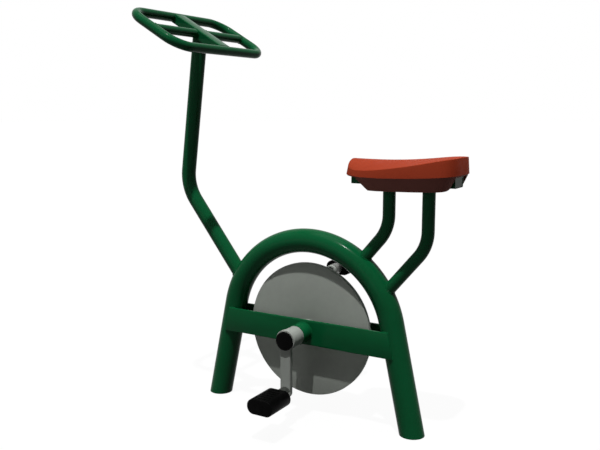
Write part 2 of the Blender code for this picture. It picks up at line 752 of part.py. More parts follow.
def build_pedal(side_name, pivot):
    """Moulded pedal block with its retaining nut and end cap, turning on the spindle."""
    sign = SIDES[side_name]
    place = outward(side_name)
    outer = pedal_inner_reach() + PEDAL_LENGTH
    faces = sorted((sign * pedal_inner_reach(), sign * outer))
    block = plate("pedal_" + side_name, pedal_outline(), faces[0], faces[1], black_plastic(), pivot)
    floor = outer - PEDAL_POCKET_DEPTH
    bore = SPINDLE_DIAMETER + 2 * FIT_GAP
    cut(block, drill("cutter_pedal_bore_" + side_name, bore, pedal_inner_reach() - CUT_OVERRUN,
                     outer + CUT_OVERRUN, pivot, place, HIDDEN_STEPS))
    cut(block, drill("cutter_pedal_pocket_" + side_name, PEDAL_CAP_DIAMETER + 2 * FIT_GAP, floor,
                     outer + CUT_OVERRUN, pivot, place, HIDDEN_STEPS))
    seat = place @ Matrix.Translation((0.0, 0.0, floor + FIT_GAP))
    hex_nut("pedal_nut_" + side_name, bore, PEDAL_NUT_WIDTH, PEDAL_NUT_THICKNESS, pivot, seat)
    cap = PEDAL_CAP_DIAMETER / 2
    low = outer - PEDAL_CAP_THICKNESS
    profile = [(0, low), (cap, low), (cap, outer - EDGE_BREAK), (cap - EDGE_BREAK, outer), (0, outer)]
    turned("pedal_cap_" + side_name, profile, HIDDEN_STEPS, black_plastic(), pivot, place)


def bent_path(start, corner, stop, radius, steps):
    """Path from start to stop with one bend of a given radius at the corner."""
    into = (corner - start).normalized()
    out = (stop - corner).normalized()
    turn = into.angle(out)
    leg = radius * math.tan(turn / 2)
    begin = corner - into * leg
    centre = begin + (out - into * into.dot(out)).normalized() * radius
    spoke = begin - centre
    points = [start]
    for i in range(steps + 1):
        share = turn * i / steps
        points.append(centre + spoke * math.cos(share) + into * radius * math.sin(share))
    points.append(stop)
    return points


def foot_on_arch(corner, direction):
    """Point where a straight line from a corner meets the arch's middle line."""
    centre = Vector((AXLE_X, 0.0, ARCH_CENTRE_Z))
    away = corner - centre
    along = away.dot(direction)
    inside = along * along - away.length_squared + ARCH_BEND_RADIUS * ARCH_BEND_RADIUS
    return corner + direction * (-along - math.sqrt(inside))


def ring_middle():
    """Middle of the handlebar ring."""
    return Vector((AXLE_X - RING_BEFORE_AXLE, 0.0, RING_HEIGHT))


def ring_directions():
    """Directions of the ring: along it towards the seat, across it, and square to it."""
    along = Vector((math.cos(RING_TILT), 0.0, -math.sin(RING_TILT)))
    across = Vector((0.0, 1.0, 0.0))
    return along, across, along.cross(across)


def ring_path():
    """Middle line of the ring, a rectangle with round corners."""
    along, across, _ = ring_directions()
    half_along = RING_SPAN_ALONG / 2 - RING_CORNER_RADIUS
    half_across = RING_SPAN_ACROSS / 2 - RING_CORNER_RADIUS
    points = []
    for quarter, (sa, sc) in enumerate(((1, 1), (-1, 1), (-1, -1), (1, -1))):
        start = quarter * math.pi / 2
        corner = arc_points((sa * half_along, sc * half_across), RING_CORNER_RADIUS, start,
                            start + math.pi / 2, RING_CORNER_STEPS)
        points += [ring_middle() + along * a + across * c for a, c in corner]
    return points


def half_facet(along, side, count):
    """Side direction turned by half a facet about a straight run."""
    return Matrix.Rotation(math.pi / count, 3, along) @ side


def tilted(made):
    """Turns a box about the origin into the plane of the ring and moves it to the ring's middle."""
    made.location = ring_middle()
    made.rotation_euler = (0.0, RING_TILT, 0.0)
    return made


def centre_box(name, grow, overrun, frame):
    """Box on the ring's middle line across it, as deep as the ring's tube, larger all round by a distance."""
    reach = RING_SPAN_ALONG / 2 - CENTRE_TUBE_STOP + overrun
    half_width = CENTRE_TUBE_WIDTH / 2 + grow
    half_depth = RING_TUBE_DIAMETER / 2 + grow
    low = (-reach, -half_width, -half_depth)
    high = (reach, half_width, half_depth)
    return tilted(box(name, low, high, green_paint(), frame))


def build_ring(frame):
    """The handlebar ring, the flat box tube along it and the two round tubes across it."""
    along, across, square = ring_directions()
    middle = ring_middle()
    ring = hollow_tube("handlebar_ring", ring_path(), square, RING_TUBE_DIAMETER, RING_TUBE_WALL,
                       RING_SIDES, green_paint(), frame, closed=True)
    ring_cut = as_cutter(closed_rod("cutter_ring", ring_path(), square, RING_TUBE_DIAMETER + 2 * FIT_GAP,
                                    RING_SIDES, green_paint(), frame))
    centre = centre_box("handlebar_centre_tube", 0.0, 0.0, frame)
    cut(centre, as_cutter(centre_box("cutter_centre_bore", -CENTRE_TUBE_WALL, CUT_OVERRUN, frame)))
    cut(centre, ring_cut)
    centre_cut = as_cutter(centre_box("cutter_centre_tube", FIT_GAP, 0.0, frame))
    reach = across * (RING_SPAN_ACROSS / 2)
    for side_name, spot in (("near", middle - reach), ("far", middle + reach)):
        side = half_facet(across, square, RING_SIDES)
        tube = hollow_tube("handlebar_cross_tube_" + side_name, [spot, middle], side, CROSS_TUBE_DIAMETER,
                           CROSS_TUBE_WALL, RING_SIDES, green_paint(), frame)
        cut(tube, ring_cut)
        cut(tube, centre_cut)
    span = along * (RING_SPAN_ALONG / 2)
    for name, spot in (("front", middle - span), ("rear", middle + span), ("near", middle - reach),
                       ("far", middle + reach)):
        inward = (middle - spot).normalized()
        stop = spot + inward * (RING_TUBE_DIAMETER / 2 + CUT_OVERRUN)
        hole = solid_rod("cutter_vent_" + name, [spot, stop], half_facet(inward, square, HEX_STEPS),
                         VENT_HOLE_DIAMETER, HEX_STEPS, green_paint(), frame)
        cut(ring, as_cutter(hole))


def build_handlebar_post(frame, arch):
    """The bent post from the arch to the underside of the box tube in the ring."""
    _, across, square = ring_directions()
    corner = Vector((AXLE_X - POST_BEND_BEFORE_AXLE, 0.0, POST_BEND_HEIGHT))
    down = Vector((math.sin(POST_FOOT_SLOPE), 0.0, -math.cos(POST_FOOT_SLOPE)))
    path = bent_path(ring_middle(), corner, foot_on_arch(corner, down), POST_BEND_RADIUS, POST_BEND_STEPS)
    post = hollow_tube("handlebar_post", path, side_direction(), POST_DIAMETER, POST_WALL, POST_SIDES,
                       green_paint(), frame)
    cut(post, arch)
    base = ring_middle() - square * (RING_TUBE_DIAMETER / 2 + FIT_GAP)
    block = solid_rod("cutter_post_top", [base, base + square * POST_DIAMETER], across, 2 * POST_DIAMETER,
                      HIDDEN_STEPS, green_paint(), frame)
    cut(post, as_cutter(block))


def build_seat_posts(frame, arch):
    """The two bent posts from the arch to the seat bar."""
    top = SEAT_BAR_HEIGHT - FIT_GAP
    places = {"seat_post_front": (FRONT_POST_BEHIND_AXLE, SEAT_BAR_HEIGHT - FRONT_POST_DROP),
              "seat_post_rear": (REAR_POST_BEHIND_AXLE, SEAT_BAR_HEIGHT - REAR_POST_DROP)}
    down = Vector((-math.sin(SEAT_POST_FOOT_SLOPE), 0.0, -math.cos(SEAT_POST_FOOT_SLOPE)))
    for name, (behind, height) in places.items():
        start = Vector((AXLE_X + behind, 0.0, top))
        corner = Vector((AXLE_X + behind, 0.0, height))
        path = bent_path(start, corner, foot_on_arch(corner, down), SEAT_POST_BEND_RADIUS, POST_BEND_STEPS)
        post = hollow_tube(name, path, side_direction(), SEAT_POST_DIAMETER, SEAT_POST_WALL, POST_SIDES,
                           green_paint(), frame)
        cut(post, arch)


def seat_bar_top():
    """Height of the face that the seat rests on; the rises of the seat are measured from it."""
    return SEAT_BAR_HEIGHT + SEAT_BAR_DEPTH


def rim_height(x):
    """Height of the seat cover's lower rim, which dips behind the nose; x is measured from the axle."""
    if x > SEAT_RIM_DIP:
        share = (x - SEAT_RIM_DIP) / (SEAT_TAIL - SEAT_RIM_DIP)
        rise = SEAT_RIM_TAIL_RISE - SEAT_RIM_DIP_RISE
    else:
        share = (SEAT_RIM_DIP - x) / (SEAT_RIM_DIP - SEAT_NOSE)
        rise = SEAT_RIM_NOSE_RISE - SEAT_RIM_DIP_RISE
    return seat_bar_top() + SEAT_RIM_DIP_RISE + rise * share ** SEAT_RIM_POWER


def seat_bolt_spots():
    """Places of the seat bolts, x measured from the axle."""
    half = SEAT_BOLT_SPACING_ACROSS / 2
    return [(x, y) for x in (SEAT_BOLT_FRONT, SEAT_BOLT_REAR) for y in (-half, half)]


def build_seat_bar(frame):
    """The flat box tube on top of the seat posts, and the plates in its ends."""
    half = SEAT_BAR_WIDTH / 2
    top = seat_bar_top()
    front = AXLE_X + SEAT_BAR_FRONT
    rear = AXLE_X + SEAT_BAR_REAR
    bar = box("seat_bar", (front, -half, SEAT_BAR_HEIGHT), (rear, half, top), green_paint(), frame)
    hollow_low = (front - CUT_OVERRUN, SEAT_BAR_WALL - half, SEAT_BAR_HEIGHT + SEAT_BAR_WALL)
    hollow_high = (rear + CUT_OVERRUN, half - SEAT_BAR_WALL, top - SEAT_BAR_WALL)
    cut(bar, as_cutter(box("cutter_seat_bar", hollow_low, hollow_high, green_paint(), frame)))
    inset = SEAT_BAR_WALL + FIT_GAP
    ends = {"seat_bar_end_front": (front, front + SEAT_BAR_WALL),
            "seat_bar_end_rear": (rear - SEAT_BAR_WALL, rear)}
    for name, (low, high) in ends.items():
        box(name, (low, inset - half, SEAT_BAR_HEIGHT + inset), (high, half - inset, top - inset),
            green_paint(), frame)
    return bar


def along_seat(x):
    """Share of the way from the seat's nose to its tail, held between 0 and 1."""
    return min(max((x - SEAT_NOSE) / (SEAT_TAIL - SEAT_NOSE), 0.0), 1.0)


def seat_half_width(x):
    """Half the seat's width, before its corners are rounded."""
    return SEAT_WIDTH / 2 * (1 - SEAT_NOSE_TAPER_SHARE * (1 - along_seat(x)) ** SEAT_TAPER_POWER)


def seat_stations():
    """Reach, skirt depth share and side of each station: near side from nose to tail, far side back."""
    near = [(reach, hang, -1.0) for reach, hang in SEAT_STATION_SHARES]
    return near + [(reach, hang, 1.0) for reach, hang in SEAT_STATION_SHARES[-2:0:-1]]


def seat_point(reach, sign, keep, inset):
    """Plan point of the seat at a reach, on a share of its outline."""
    length = SEAT_TAIL - SEAT_MIDDLE if reach > 0 else SEAT_MIDDLE - SEAT_NOSE
    power = SEAT_TAIL_POWER if reach > 0 else SEAT_NOSE_POWER
    half = seat_half_width(SEAT_MIDDLE + length * reach)
    spread = (1 - abs(reach) ** power) ** (1 / power)
    return SEAT_MIDDLE + keep * (length - inset) * reach, sign * keep * (half - inset) * spread


def crease_height(x):
    """Height of the shoulder line along each side of the seat cover."""
    rise = SEAT_CREASE_TAIL_RISE - SEAT_CREASE_NOSE_RISE
    return seat_bar_top() + SEAT_CREASE_NOSE_RISE + rise * along_seat(x) ** SEAT_CREASE_POWER


def crown_height(x):
    """Height of the seat's middle line: level behind the nose, then rising to the tail."""
    share = along_seat(x)
    line = SEAT_TOP_NOSE_RISE + (SEAT_TOP_TAIL_RISE - SEAT_TOP_NOSE_RISE) * share
    return seat_bar_top() + line - SEAT_TOP_SAG * math.sin(math.pi * share)


def rim_ring(bm, inset, drop):
    """Ring of the seat at its rim, or some way below it."""
    spots = [seat_point(reach, sign, 1.0, inset) for reach, _, sign in seat_stations()]
    return [bm.verts.new((AXLE_X + x, y, rim_height(x) - drop)) for x, y in spots]


def top_ring(bm, keep, inset, drop):
    """One ring of the seat's top, arched from side to side; its front leans back and its tail rolls down."""
    ring = []
    for reach, _, sign in seat_stations():
        x, y = seat_point(reach, sign, keep, SEAT_CREASE_INSET + inset)
        across = min(abs(y) / seat_half_width(x), 1.0)
        edge = crease_height(x)
        height = edge + (crown_height(x) - edge) * (1 - across ** 2)
        height -= SEAT_TAIL_ROLL * (keep * max(reach, 0.0)) ** SEAT_EDGE_POWER
        up = (height - rim_height(x)) / (crown_height(x) - rim_height(x))
        back = SEAT_NOSE_SLANT * (keep * max(-reach, 0.0)) ** SEAT_EDGE_POWER * up
        ring.append(bm.verts.new((AXLE_X + x + back, y, height - drop)))
    return ring


def cover_skin(bm, inset, drop):
    """One skin of the cover from its rim to its middle; returns the rim."""
    rings = [rim_ring(bm, inset, 0.0)]
    rings += [top_ring(bm, keep, inset, drop) for keep in (1.0,) + SEAT_TOP_RING_SHARES]
    skin(bm, rings, False)
    tip = bm.verts.new((AXLE_X + SEAT_MIDDLE, 0.0, crown_height(SEAT_MIDDLE) - drop))
    join_rings(bm, rings[-1], [tip])
    return rings[0]


def cap_across(bm, ring):
    """Closes a seat ring with strips from its near side to its far side."""
    last = len(ring) // 2
    for i in range(last):
        corners = [ring[i], ring[i + 1], ring[-i - 1], ring[-i]]
        bm.faces.new(list(dict.fromkeys(corners)))


def build_seat_cover(frame):
    """The moulded shell that the rider sits on, open underneath."""
    bm = bmesh.new()
    outer_rim = cover_skin(bm, 0.0, 0.0)
    inner_rim = cover_skin(bm, SEAT_COVER_WALL, SEAT_COVER_WALL)
    bridge(bm, outer_rim, inner_rim)
    return finish(bm, "seat_cover", orange_plastic(), frame)


def skirt_ring(bm, wall, height):
    """Ring of the tray under the seat that leans in with the skirt; height works on x and the skirt depth."""
    ring = []
    for reach, hang, sign in seat_stations():
        inset = SEAT_BASE_INSET + SEAT_SKIRT_LEAN * hang
        if wall:
            inset = max(inset, SEAT_BASE_STEP) + wall
        x, y = seat_point(reach, sign, 1.0, inset)
        ring.append(bm.verts.new((AXLE_X + x, y, height(x, hang))))
    return ring


def build_seat_base(frame):
    """The dark tray under the cover: a sheet on the seat bar, and a skirt along each side that leans in."""
    bm = bmesh.new()
    floor = seat_bar_top() + FIT_GAP
    sheet = floor + SEAT_BASE_SHEET

    def hem(x, hang):
        return rim_height(x) - FIT_GAP - SEAT_BASE_LIP - SEAT_SKIRT_DEPTH * hang

    step = [seat_point(reach, sign, 1.0, SEAT_BASE_STEP + SEAT_BASE_DRAFT)
            for reach, _, sign in seat_stations()]
    rings = [[bm.verts.new((AXLE_X + x, y, sheet)) for x, y in step],
             rim_ring(bm, SEAT_BASE_STEP, FIT_GAP), rim_ring(bm, SEAT_BASE_INSET, FIT_GAP),
             skirt_ring(bm, 0.0, hem), skirt_ring(bm, SEAT_SKIRT_WALL, hem),
             skirt_ring(bm, SEAT_SKIRT_WALL + SEAT_BASE_DRAFT, lambda x, hang: floor)]
    skin(bm, rings, False)
    cap_across(bm, rings[0])
    cap_across(bm, rings[-1])
    return finish(bm, "seat_base", maroon_plastic(), frame)


def build_seat_bolts(frame, bar, base):
    """Bolts up through the seat bar and the base, with nuts under the cover."""
    low = SEAT_BAR_HEIGHT - FIT_GAP
    seat = seat_bar_top() + SEAT_BASE_SHEET + 2 * FIT_GAP
    length = seat + SEAT_NUT_HEIGHT + SEAT_BOLT_STICK_OUT - low
    for number, (x, y) in enumerate(seat_bolt_spots(), start=1):
        spot = Matrix.Translation((AXLE_X + x, y, low))
        hex_bolt("seat_bolt_%d" % number, SEAT_BOLT_DIAMETER, length, SEAT_BOLT_HEAD_WIDTH,
                 SEAT_BOLT_HEAD_HEIGHT, frame, spot)
        hole_size = SEAT_BOLT_DIAMETER + 2 * FIT_GAP
        hole = drill("cutter_seat_bolt_%d" % number, hole_size, -CUT_OVERRUN, length + CUT_OVERRUN, frame,
                     spot, HEX_STEPS)
        cut(bar, hole)
        cut(base, hole)
        hex_nut("seat_nut_%d" % number, hole_size, SEAT_BOLT_HEAD_WIDTH, SEAT_NUT_HEIGHT, frame,
                Matrix.Translation((AXLE_X + x, y, seat)))


def clear_scene():
    """Removes whatever the file holds."""
    for old in list(bpy.data.objects):
        bpy.data.objects.remove(old, do_unlink=True)


def main():
    """Builds the whole bike."""
    clear_scene()
    frame = empty("frame_origin", (0.0, 0.0, 0.0))
    crank = empty("crank_pivot", (AXLE_X, 0.0, AXLE_HEIGHT), frame)
    arch = arch_cutter(frame)
    build_arch(frame)
    build_side_bars(frame, arch)
    build_housings(frame)
    build_axle(crank)
    build_disc(crank)
    build_running_rings(crank)
    for side_name in SIDES:
        build_crank(side_name, crank)
        build_spindle(side_name, crank)
        drop = crank_turn(side_name) @ Vector((0.0, 0.0, -CRANK_LENGTH))
        pivot = empty("pedal_pivot_" + side_name, drop, crank)
        build_pedal(side_name, pivot)
    build_ring(frame)
    build_handlebar_post(frame, arch)
    build_seat_posts(frame, arch)
    bar = build_seat_bar(frame)
    build_seat_cover(frame)
    base = build_seat_base(frame)
    build_seat_bolts(frame, bar, base)


if __name__ == "__main__":
    main()
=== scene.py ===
"""Outdoor fitness bike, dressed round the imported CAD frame.

Metres, +Z up, the CAD's own frame: the arch stands in the plane Y = 0, the handlebar is at -X, the seat
at +X, and the crank axle runs along Y. The near side is the one at -Y, where the camera is.
"""

import json
import logging
import math
from dataclasses import dataclass
from enum import Enum
from typing import Callable, Sequence

import bmesh
import bpy
import numpy as np
from bmesh.types import BMEdge, BMesh, BMVert
from bpy.types import Material, Mesh, Node, NodeSocket, NodeTree, Object
from mathutils import Matrix, Vector

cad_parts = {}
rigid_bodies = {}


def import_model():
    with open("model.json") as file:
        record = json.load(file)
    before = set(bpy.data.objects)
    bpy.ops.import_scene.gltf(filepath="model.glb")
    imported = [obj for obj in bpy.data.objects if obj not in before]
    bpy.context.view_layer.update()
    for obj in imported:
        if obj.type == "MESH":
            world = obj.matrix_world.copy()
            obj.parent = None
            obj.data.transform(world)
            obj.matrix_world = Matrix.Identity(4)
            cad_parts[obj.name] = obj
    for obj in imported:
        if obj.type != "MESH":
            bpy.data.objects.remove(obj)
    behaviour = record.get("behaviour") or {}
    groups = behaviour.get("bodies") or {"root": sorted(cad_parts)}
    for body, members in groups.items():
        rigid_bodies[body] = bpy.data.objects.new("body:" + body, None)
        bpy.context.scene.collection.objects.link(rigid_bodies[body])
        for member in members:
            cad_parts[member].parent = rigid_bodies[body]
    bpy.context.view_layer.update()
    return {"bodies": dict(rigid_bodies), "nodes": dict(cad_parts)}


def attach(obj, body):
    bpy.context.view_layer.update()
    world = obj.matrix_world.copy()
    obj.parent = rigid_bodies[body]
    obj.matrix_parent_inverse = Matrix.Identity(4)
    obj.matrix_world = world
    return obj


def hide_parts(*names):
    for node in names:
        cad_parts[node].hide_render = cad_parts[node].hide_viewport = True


Triple = tuple[float, float, float]
Profile = Sequence[tuple[float, float]]

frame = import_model()
LOG = logging.getLogger("fitness_bike")

AXLE_X = 0.0201471
AXLE_HEIGHT = 0.277
AXLE = Vector((AXLE_X, 0.0, AXLE_HEIGHT))
CRANK_LENGTH = 0.165
ORIGIN = Vector((0.0, 0.0, 0.0))
ALONG_X = Vector((1.0, 0.0, 0.0))
ALONG_Y = Vector((0.0, 1.0, 0.0))
ALONG_Z = Vector((0.0, 0.0, 1.0))
FULL_TURN = 2 * math.pi
# Space left between two pieces that meet
GAP = 0.0003
# Points nearer than this are one point
MERGE = 0.000002
SMOOTH_ANGLE = math.radians(32)
# Rings that a wave texture makes in one unit at scale 1
WAVE_RINGS = 3.183


class Body(Enum):
    """CAD bodies that pieces ride on."""

    FRAME = "frame"
    CRANKSET = "crankset"
    NEAR_PEDAL = "near_pedal"
    FAR_PEDAL = "far_pedal"


class Side(Enum):
    """The two sides of the bike, with the sign of their Y."""

    NEAR = -1.0
    FAR = 1.0

    @property
    def word(self) -> str:
        """The side's name as CAD nodes use it."""
        return self.name.lower()

    @property
    def pedal_body(self) -> Body:
        """The body of the pedal on this side."""
        return Body.NEAR_PEDAL if self is Side.NEAR else Body.FAR_PEDAL

    @property
    def pedal_centre(self) -> Vector:
        """Where the pedal's axis crosses the middle plane; the far crank stands up."""
        return off_axle(0.0, AXLE_HEIGHT + self.value * CRANK_LENGTH)


def off_axle(reach: float, height: float) -> Vector:
    """Point of the middle plane, this far behind the axle and this high above the ground."""
    return Vector((AXLE_X + reach, 0.0, height))


# ---- Colours and nodes


def linear(code: str) -> tuple[float, float, float, float]:
    """Linear RGBA of six hex digits of an sRGB colour."""
    parts = [int(code[i:i + 2], 16) / 255 for i in (0, 2, 4)]
    return *(c / 12.92 if c <= 0.04045 else ((c + 0.055) / 1.055) ** 2.4 for c in parts), 1.0


def add_node(tree: NodeTree, kind: str, inputs: dict | None = None, **settings: object) -> Node:
    """Adds one node with its settings, values and links.

    Args:
        tree: Node tree that gets the node.
        kind: Blender's type name of the node.
        inputs: Socket name or index, with a value or the output socket to link.
        **settings: Properties of the node itself.

    Returns:
        The new node.
    """
    node = tree.nodes.new(kind)
    for key, value in settings.items():
        setattr(node, key, value)
    for key, value in (inputs or {}).items():
        if isinstance(value, NodeSocket):
            tree.links.new(value, node.inputs[key])
        else:
            node.inputs[key].default_value = value
    return node


def per_metre(millimetres: float) -> float:
    """Texture scale whose features lie this far apart."""
    return 1000.0 / millimetres


class Surface:
    """A material under work: its tree, its shader, and the place that patterns are read at."""

    def __init__(self, name: str) -> None:
        """Makes the material.

        Args:
            name: Its name.
        """
        self.material = bpy.data.materials.new(name)
        self.material.use_nodes = True
        self.tree = self.material.node_tree
        self.shader = self.tree.nodes["Principled BSDF"]
        self.place = add_node(self.tree, "ShaderNodeTexCoord").outputs["Object"]

    def feed(self, source: NodeSocket, socket: str) -> None:
        """Links an output to a socket of the shader."""
        self.tree.links.new(source, self.shader.inputs[socket])

    def mapped(self, **inputs: Sequence[float]) -> NodeSocket:
        """The place, moved by a Location or stretched by a Scale."""
        return add_node(self.tree, "ShaderNodeMapping", {"Vector": self.place} | inputs).outputs["Vector"]

    def noise(self, size_mm: float, detail: float, roughness: float = 0.5,
              place: NodeSocket | None = None) -> NodeSocket:
        """Soft noise with features of a size, read at the surface's own place unless another is given."""
        values = {"Vector": place or self.place, "Scale": per_metre(size_mm), "Detail": detail}
        return add_node(self.tree, "ShaderNodeTexNoise", values | {"Roughness": roughness}).outputs["Fac"]

    def spread(self, value: NodeSocket, low: float, least: float, most: float) -> NodeSocket:
        """Stretches the part of a value's range from low up to 1 - low over least to most."""
        values = {"Value": value, "From Min": low, "From Max": 1 - low, "To Min": least, "To Max": most}
        return add_node(self.tree, "ShaderNodeMapRange", values).outputs["Result"]

    def gloss(self, value: NodeSocket, low: float, least: float, most: float) -> None:
        """Lets the roughness wander between two values, as spread does."""
        self.feed(self.spread(value, low, least, most), "Roughness")

    def bump(self, height: NodeSocket, height_mm: float, strength: float) -> None:
        """Lets a value raise the surface."""
        values = {"Height": height, "Strength": strength, "Distance": height_mm / 1000}
        self.feed(add_node(self.tree, "ShaderNodeBump", values).outputs["Normal"], "Normal")

    def grain(self, size_mm: float, height_mm: float, strength: float) -> None:
        """Adds an even grain of bumps."""
        self.bump(self.noise(size_mm, 2.0), height_mm, strength)

    def cloud(self, size_mm: float, own: str, other: str, share: float) -> None:
        """Lets the colour drift between two in soft patches.

        Args:
            size_mm: Size of a patch.
            own: Hex colour that the drift sets off from.
            other: Hex colour at its far end.
            share: How far the drift goes, from 0 to 1.
        """
        span = self.spread(self.noise(size_mm, 3.0, 0.55), 0.32, 0.0, share)
        colours = {0: span, 6: linear(own), 7: linear(other)}
        self.feed(add_node(self.tree, "ShaderNodeMix", colours, data_type="RGBA").outputs[2], "Base Color")


# ---- Finishes


@dataclass(frozen=True)
class Finish:
    """What every finish has: a name, the record's slot, and the values of its shader."""

    name: str
    slot: str
    colour: str
    roughness: float
    specular: float = 0.5
    ior: float = 1.5
    metallic: float = 0.0

    def material(self) -> Material:
        """The finish's material, made the first time it is asked for."""
        return bpy.data.materials.get(self.name) or self.make()

    def make(self) -> Material:
        """Builds the material: the shader's own values first, then the surface detail.

        Returns:
            The new material.
        """
        surface = Surface(self.name)
        values = {"Base Color": linear(self.colour), "Roughness": self.roughness, "Metallic": self.metallic}
        if not self.metallic:
            values |= {"IOR": self.ior, "Specular IOR Level": self.specular}
        for socket, value in values.items():
            surface.shader.inputs[socket].default_value = value
        self.detail(surface)
        return surface.material

    def detail(self, surface: Surface) -> None:
        """Adds the finish's own detail; each finish has its own."""


@dataclass(frozen=True)
class PowderCoat(Finish):
    """Polyester powder coat, baked on steel: satin, with the soft dimples called orange peel."""

    peel_mm: float = 2.4
    peel_height_mm: float = 0.03
    drift_mm: float = 90.0
    drift_colour: str = "0B623A"
    smear_mm: float = 35.0

    def detail(self, surface: Surface) -> None:
        """Orange peel in the gloss, a slow drift of the green, and a little uneven gloss.

        Args:
            surface: The material under work.
        """
        surface.cloud(self.drift_mm, self.colour, self.drift_colour, 0.35)
        surface.grain(self.peel_mm, self.peel_height_mm, 0.35)
        smears = surface.noise(self.smear_mm, 4.0, 0.6)
        surface.gloss(smears, 0.3, self.roughness - 0.03, self.roughness + 0.05)


@dataclass(frozen=True)
class WeatheredZinc(Finish):
    """Hot-dip zinc on steel, weathered: a matt grey skin over metal, with the turning marks under it."""

    bloom_mm: float = 26.0
    bloom_colour: str = "A0A49E"
    mark_mm: float = 1.6
    mark_height_mm: float = 0.02
    grain_mm: float = 1.2
    grain_height_mm: float = 0.03
    turned: bool = True

    def detail(self, surface: Surface) -> None:
        """Cloudy zinc bloom in the colour; rings round the axle, or plain grain, in the surface.

        Args:
            surface: The material under work.
        """
        surface.cloud(self.bloom_mm, self.colour, self.bloom_colour, 0.5)
        if not self.turned:
            surface.grain(self.grain_mm, self.grain_height_mm, 0.3)
            return
        values = {"Vector": surface.mapped(Location=(-AXLE_X, 0.0, -AXLE_HEIGHT)),
                  "Scale": per_metre(self.mark_mm) / WAVE_RINGS, "Distortion": 0.4, "Detail": 1.0}
        rings = add_node(surface.tree, "ShaderNodeTexWave", values, wave_type="RINGS", rings_direction="Y")
        surface.bump(rings.outputs["Fac"], self.mark_height_mm, 0.25)


@dataclass(frozen=True)
class GroundSteel(Finish):
    """Ground and zinc-flashed steel: bright, with fine scratches round each pin."""

    streak_mm: float = 1.1
    streak_stretch: Triple = (1.0, 0.08, 1.0)

    def detail(self, surface: Surface) -> None:
        """Streaks along Y in the gloss and a faint grain.

        Args:
            surface: The material under work.
        """
        streaks = surface.noise(self.streak_mm, 4.0, place=surface.mapped(Scale=self.streak_stretch))
        surface.gloss(streaks, 0.3, self.roughness - 0.06, self.roughness + 0.1)
        surface.grain(0.8, 0.01, 0.2)


@dataclass(frozen=True)
class MouldedPlastic(Finish):
    """Injection-moulded plastic with a spark-eroded grain, a little scuffed."""

    grain_mm: float = 0.9
    grain_height_mm: float = 0.05
    scuff_colour: str = "141414"
    scuff_share: float = 0.5
    patch_mm: float = 22.0

    def detail(self, surface: Surface) -> None:
        """Grain drawn at twice its real size so that it shows, and paler scuffs in patches.

        Args:
            surface: The material under work.
        """
        surface.cloud(self.patch_mm, self.colour, self.scuff_colour, self.scuff_share)
        surface.grain(self.grain_mm, self.grain_height_mm, 0.4)
        rubs = surface.noise(self.patch_mm / 2, 5.0, 0.65)
        surface.gloss(rubs, 0.35, self.roughness - 0.05, self.roughness + 0.08)


# Satin green coat: deep in shade, with small white glints on the bends
GREEN_COAT = PowderCoat("green_polyester_powder_coat", "green_powder_coat", "0B5730", 0.15, specular=0.035)
# Dull grey metal that takes shadows like a painted face, with rings seen only close up
ZINC_DISC = WeatheredZinc("weathered_zinc_turned_steel", "grey_zinc_steel", "AAB0A8", 0.5, specular=0.1)
ZINC_CRANK = WeatheredZinc("weathered_zinc_forged_steel", "grey_zinc_steel", "9EA39D", 0.42, specular=0.1,
                           turned=False)
# Bright metal with soft streaks
BRIGHT_STEEL = GroundSteel("ground_zinc_flashed_steel", "bright_ground_steel", "767874", 0.34, metallic=1.0)
# Near black, with a grain that spreads the glints
BLACK_NYLON = MouldedPlastic("black_glass_filled_nylon", "black_moulded_plastic", "050505", 0.38,
                             specular=0.02, scuff_colour="080808")
BLACK_RUBBER = MouldedPlastic("black_nitrile_rubber", "black_rubber", "0A0A0A", 0.75, specular=0.1,
                              scuff_colour="161616", grain_mm=0.6)
# Orange-red shell, satin, faded a little where riders sit
ORANGE_SHELL = MouldedPlastic("orange_red_polyethylene_shell", "orange_red_moulded_plastic", "9F3C25", 0.6,
                              specular=0.03, scuff_colour="A6432A", patch_mm=60.0, grain_mm=1.2,
                              grain_height_mm=0.04)
# Dark maroon tray, matt
MAROON_TRAY = MouldedPlastic("maroon_polyethylene_tray", "maroon_moulded_plastic", "86524A", 0.6,
                             specular=0.05, scuff_colour="8C5850", patch_mm=40.0)


# ---- Mesh helpers


def link(name: str, data: bpy.types.ID) -> Object:
    """Puts a mesh, curve, lamp or camera in the scene.

    Args:
        name: Name of the new object.
        data: What it holds.

    Returns:
        The object.
    """
    made = bpy.data.objects.new(name, data)
    bpy.context.scene.collection.objects.link(made)
    return made


def to_mesh(bm: BMesh, name: str) -> Mesh:
    """A mesh made from a bmesh, which stays as it is.

    Args:
        bm: The shape.
        name: Name of the mesh.

    Returns:
        The mesh.
    """
    mesh = bpy.data.meshes.new(name)
    bm.to_mesh(mesh)
    return mesh


def read_back(bm: BMesh, made: Object) -> BMesh:
    """Fills a bmesh with what Blender makes of an object and its modifiers.

    Args:
        bm: The bmesh; what it held goes.
        made: The object.

    Returns:
        The same bmesh.
    """
    bpy.context.view_layer.update()
    mesh = bpy.data.meshes.new_from_object(made.evaluated_get(bpy.context.evaluated_depsgraph_get()))
    bm.clear()
    bm.from_mesh(mesh)
    bpy.data.meshes.remove(mesh)
    return bm


def outward(bm: BMesh) -> BMesh:
    """Turns all faces of a closed shape outwards."""
    bmesh.ops.recalc_face_normals(bm, faces=bm.faces)
    return bm


def clean(bm: BMesh) -> BMesh:
    """Makes points that lie on each other one, and turns all faces outwards."""
    bmesh.ops.remove_doubles(bm, verts=bm.verts, dist=MERGE)
    return outward(bm)


def only(kind: type, geometry: Sequence) -> list:
    """The members of one kind in what an operator returns."""
    return [g for g in geometry if isinstance(g, kind)]


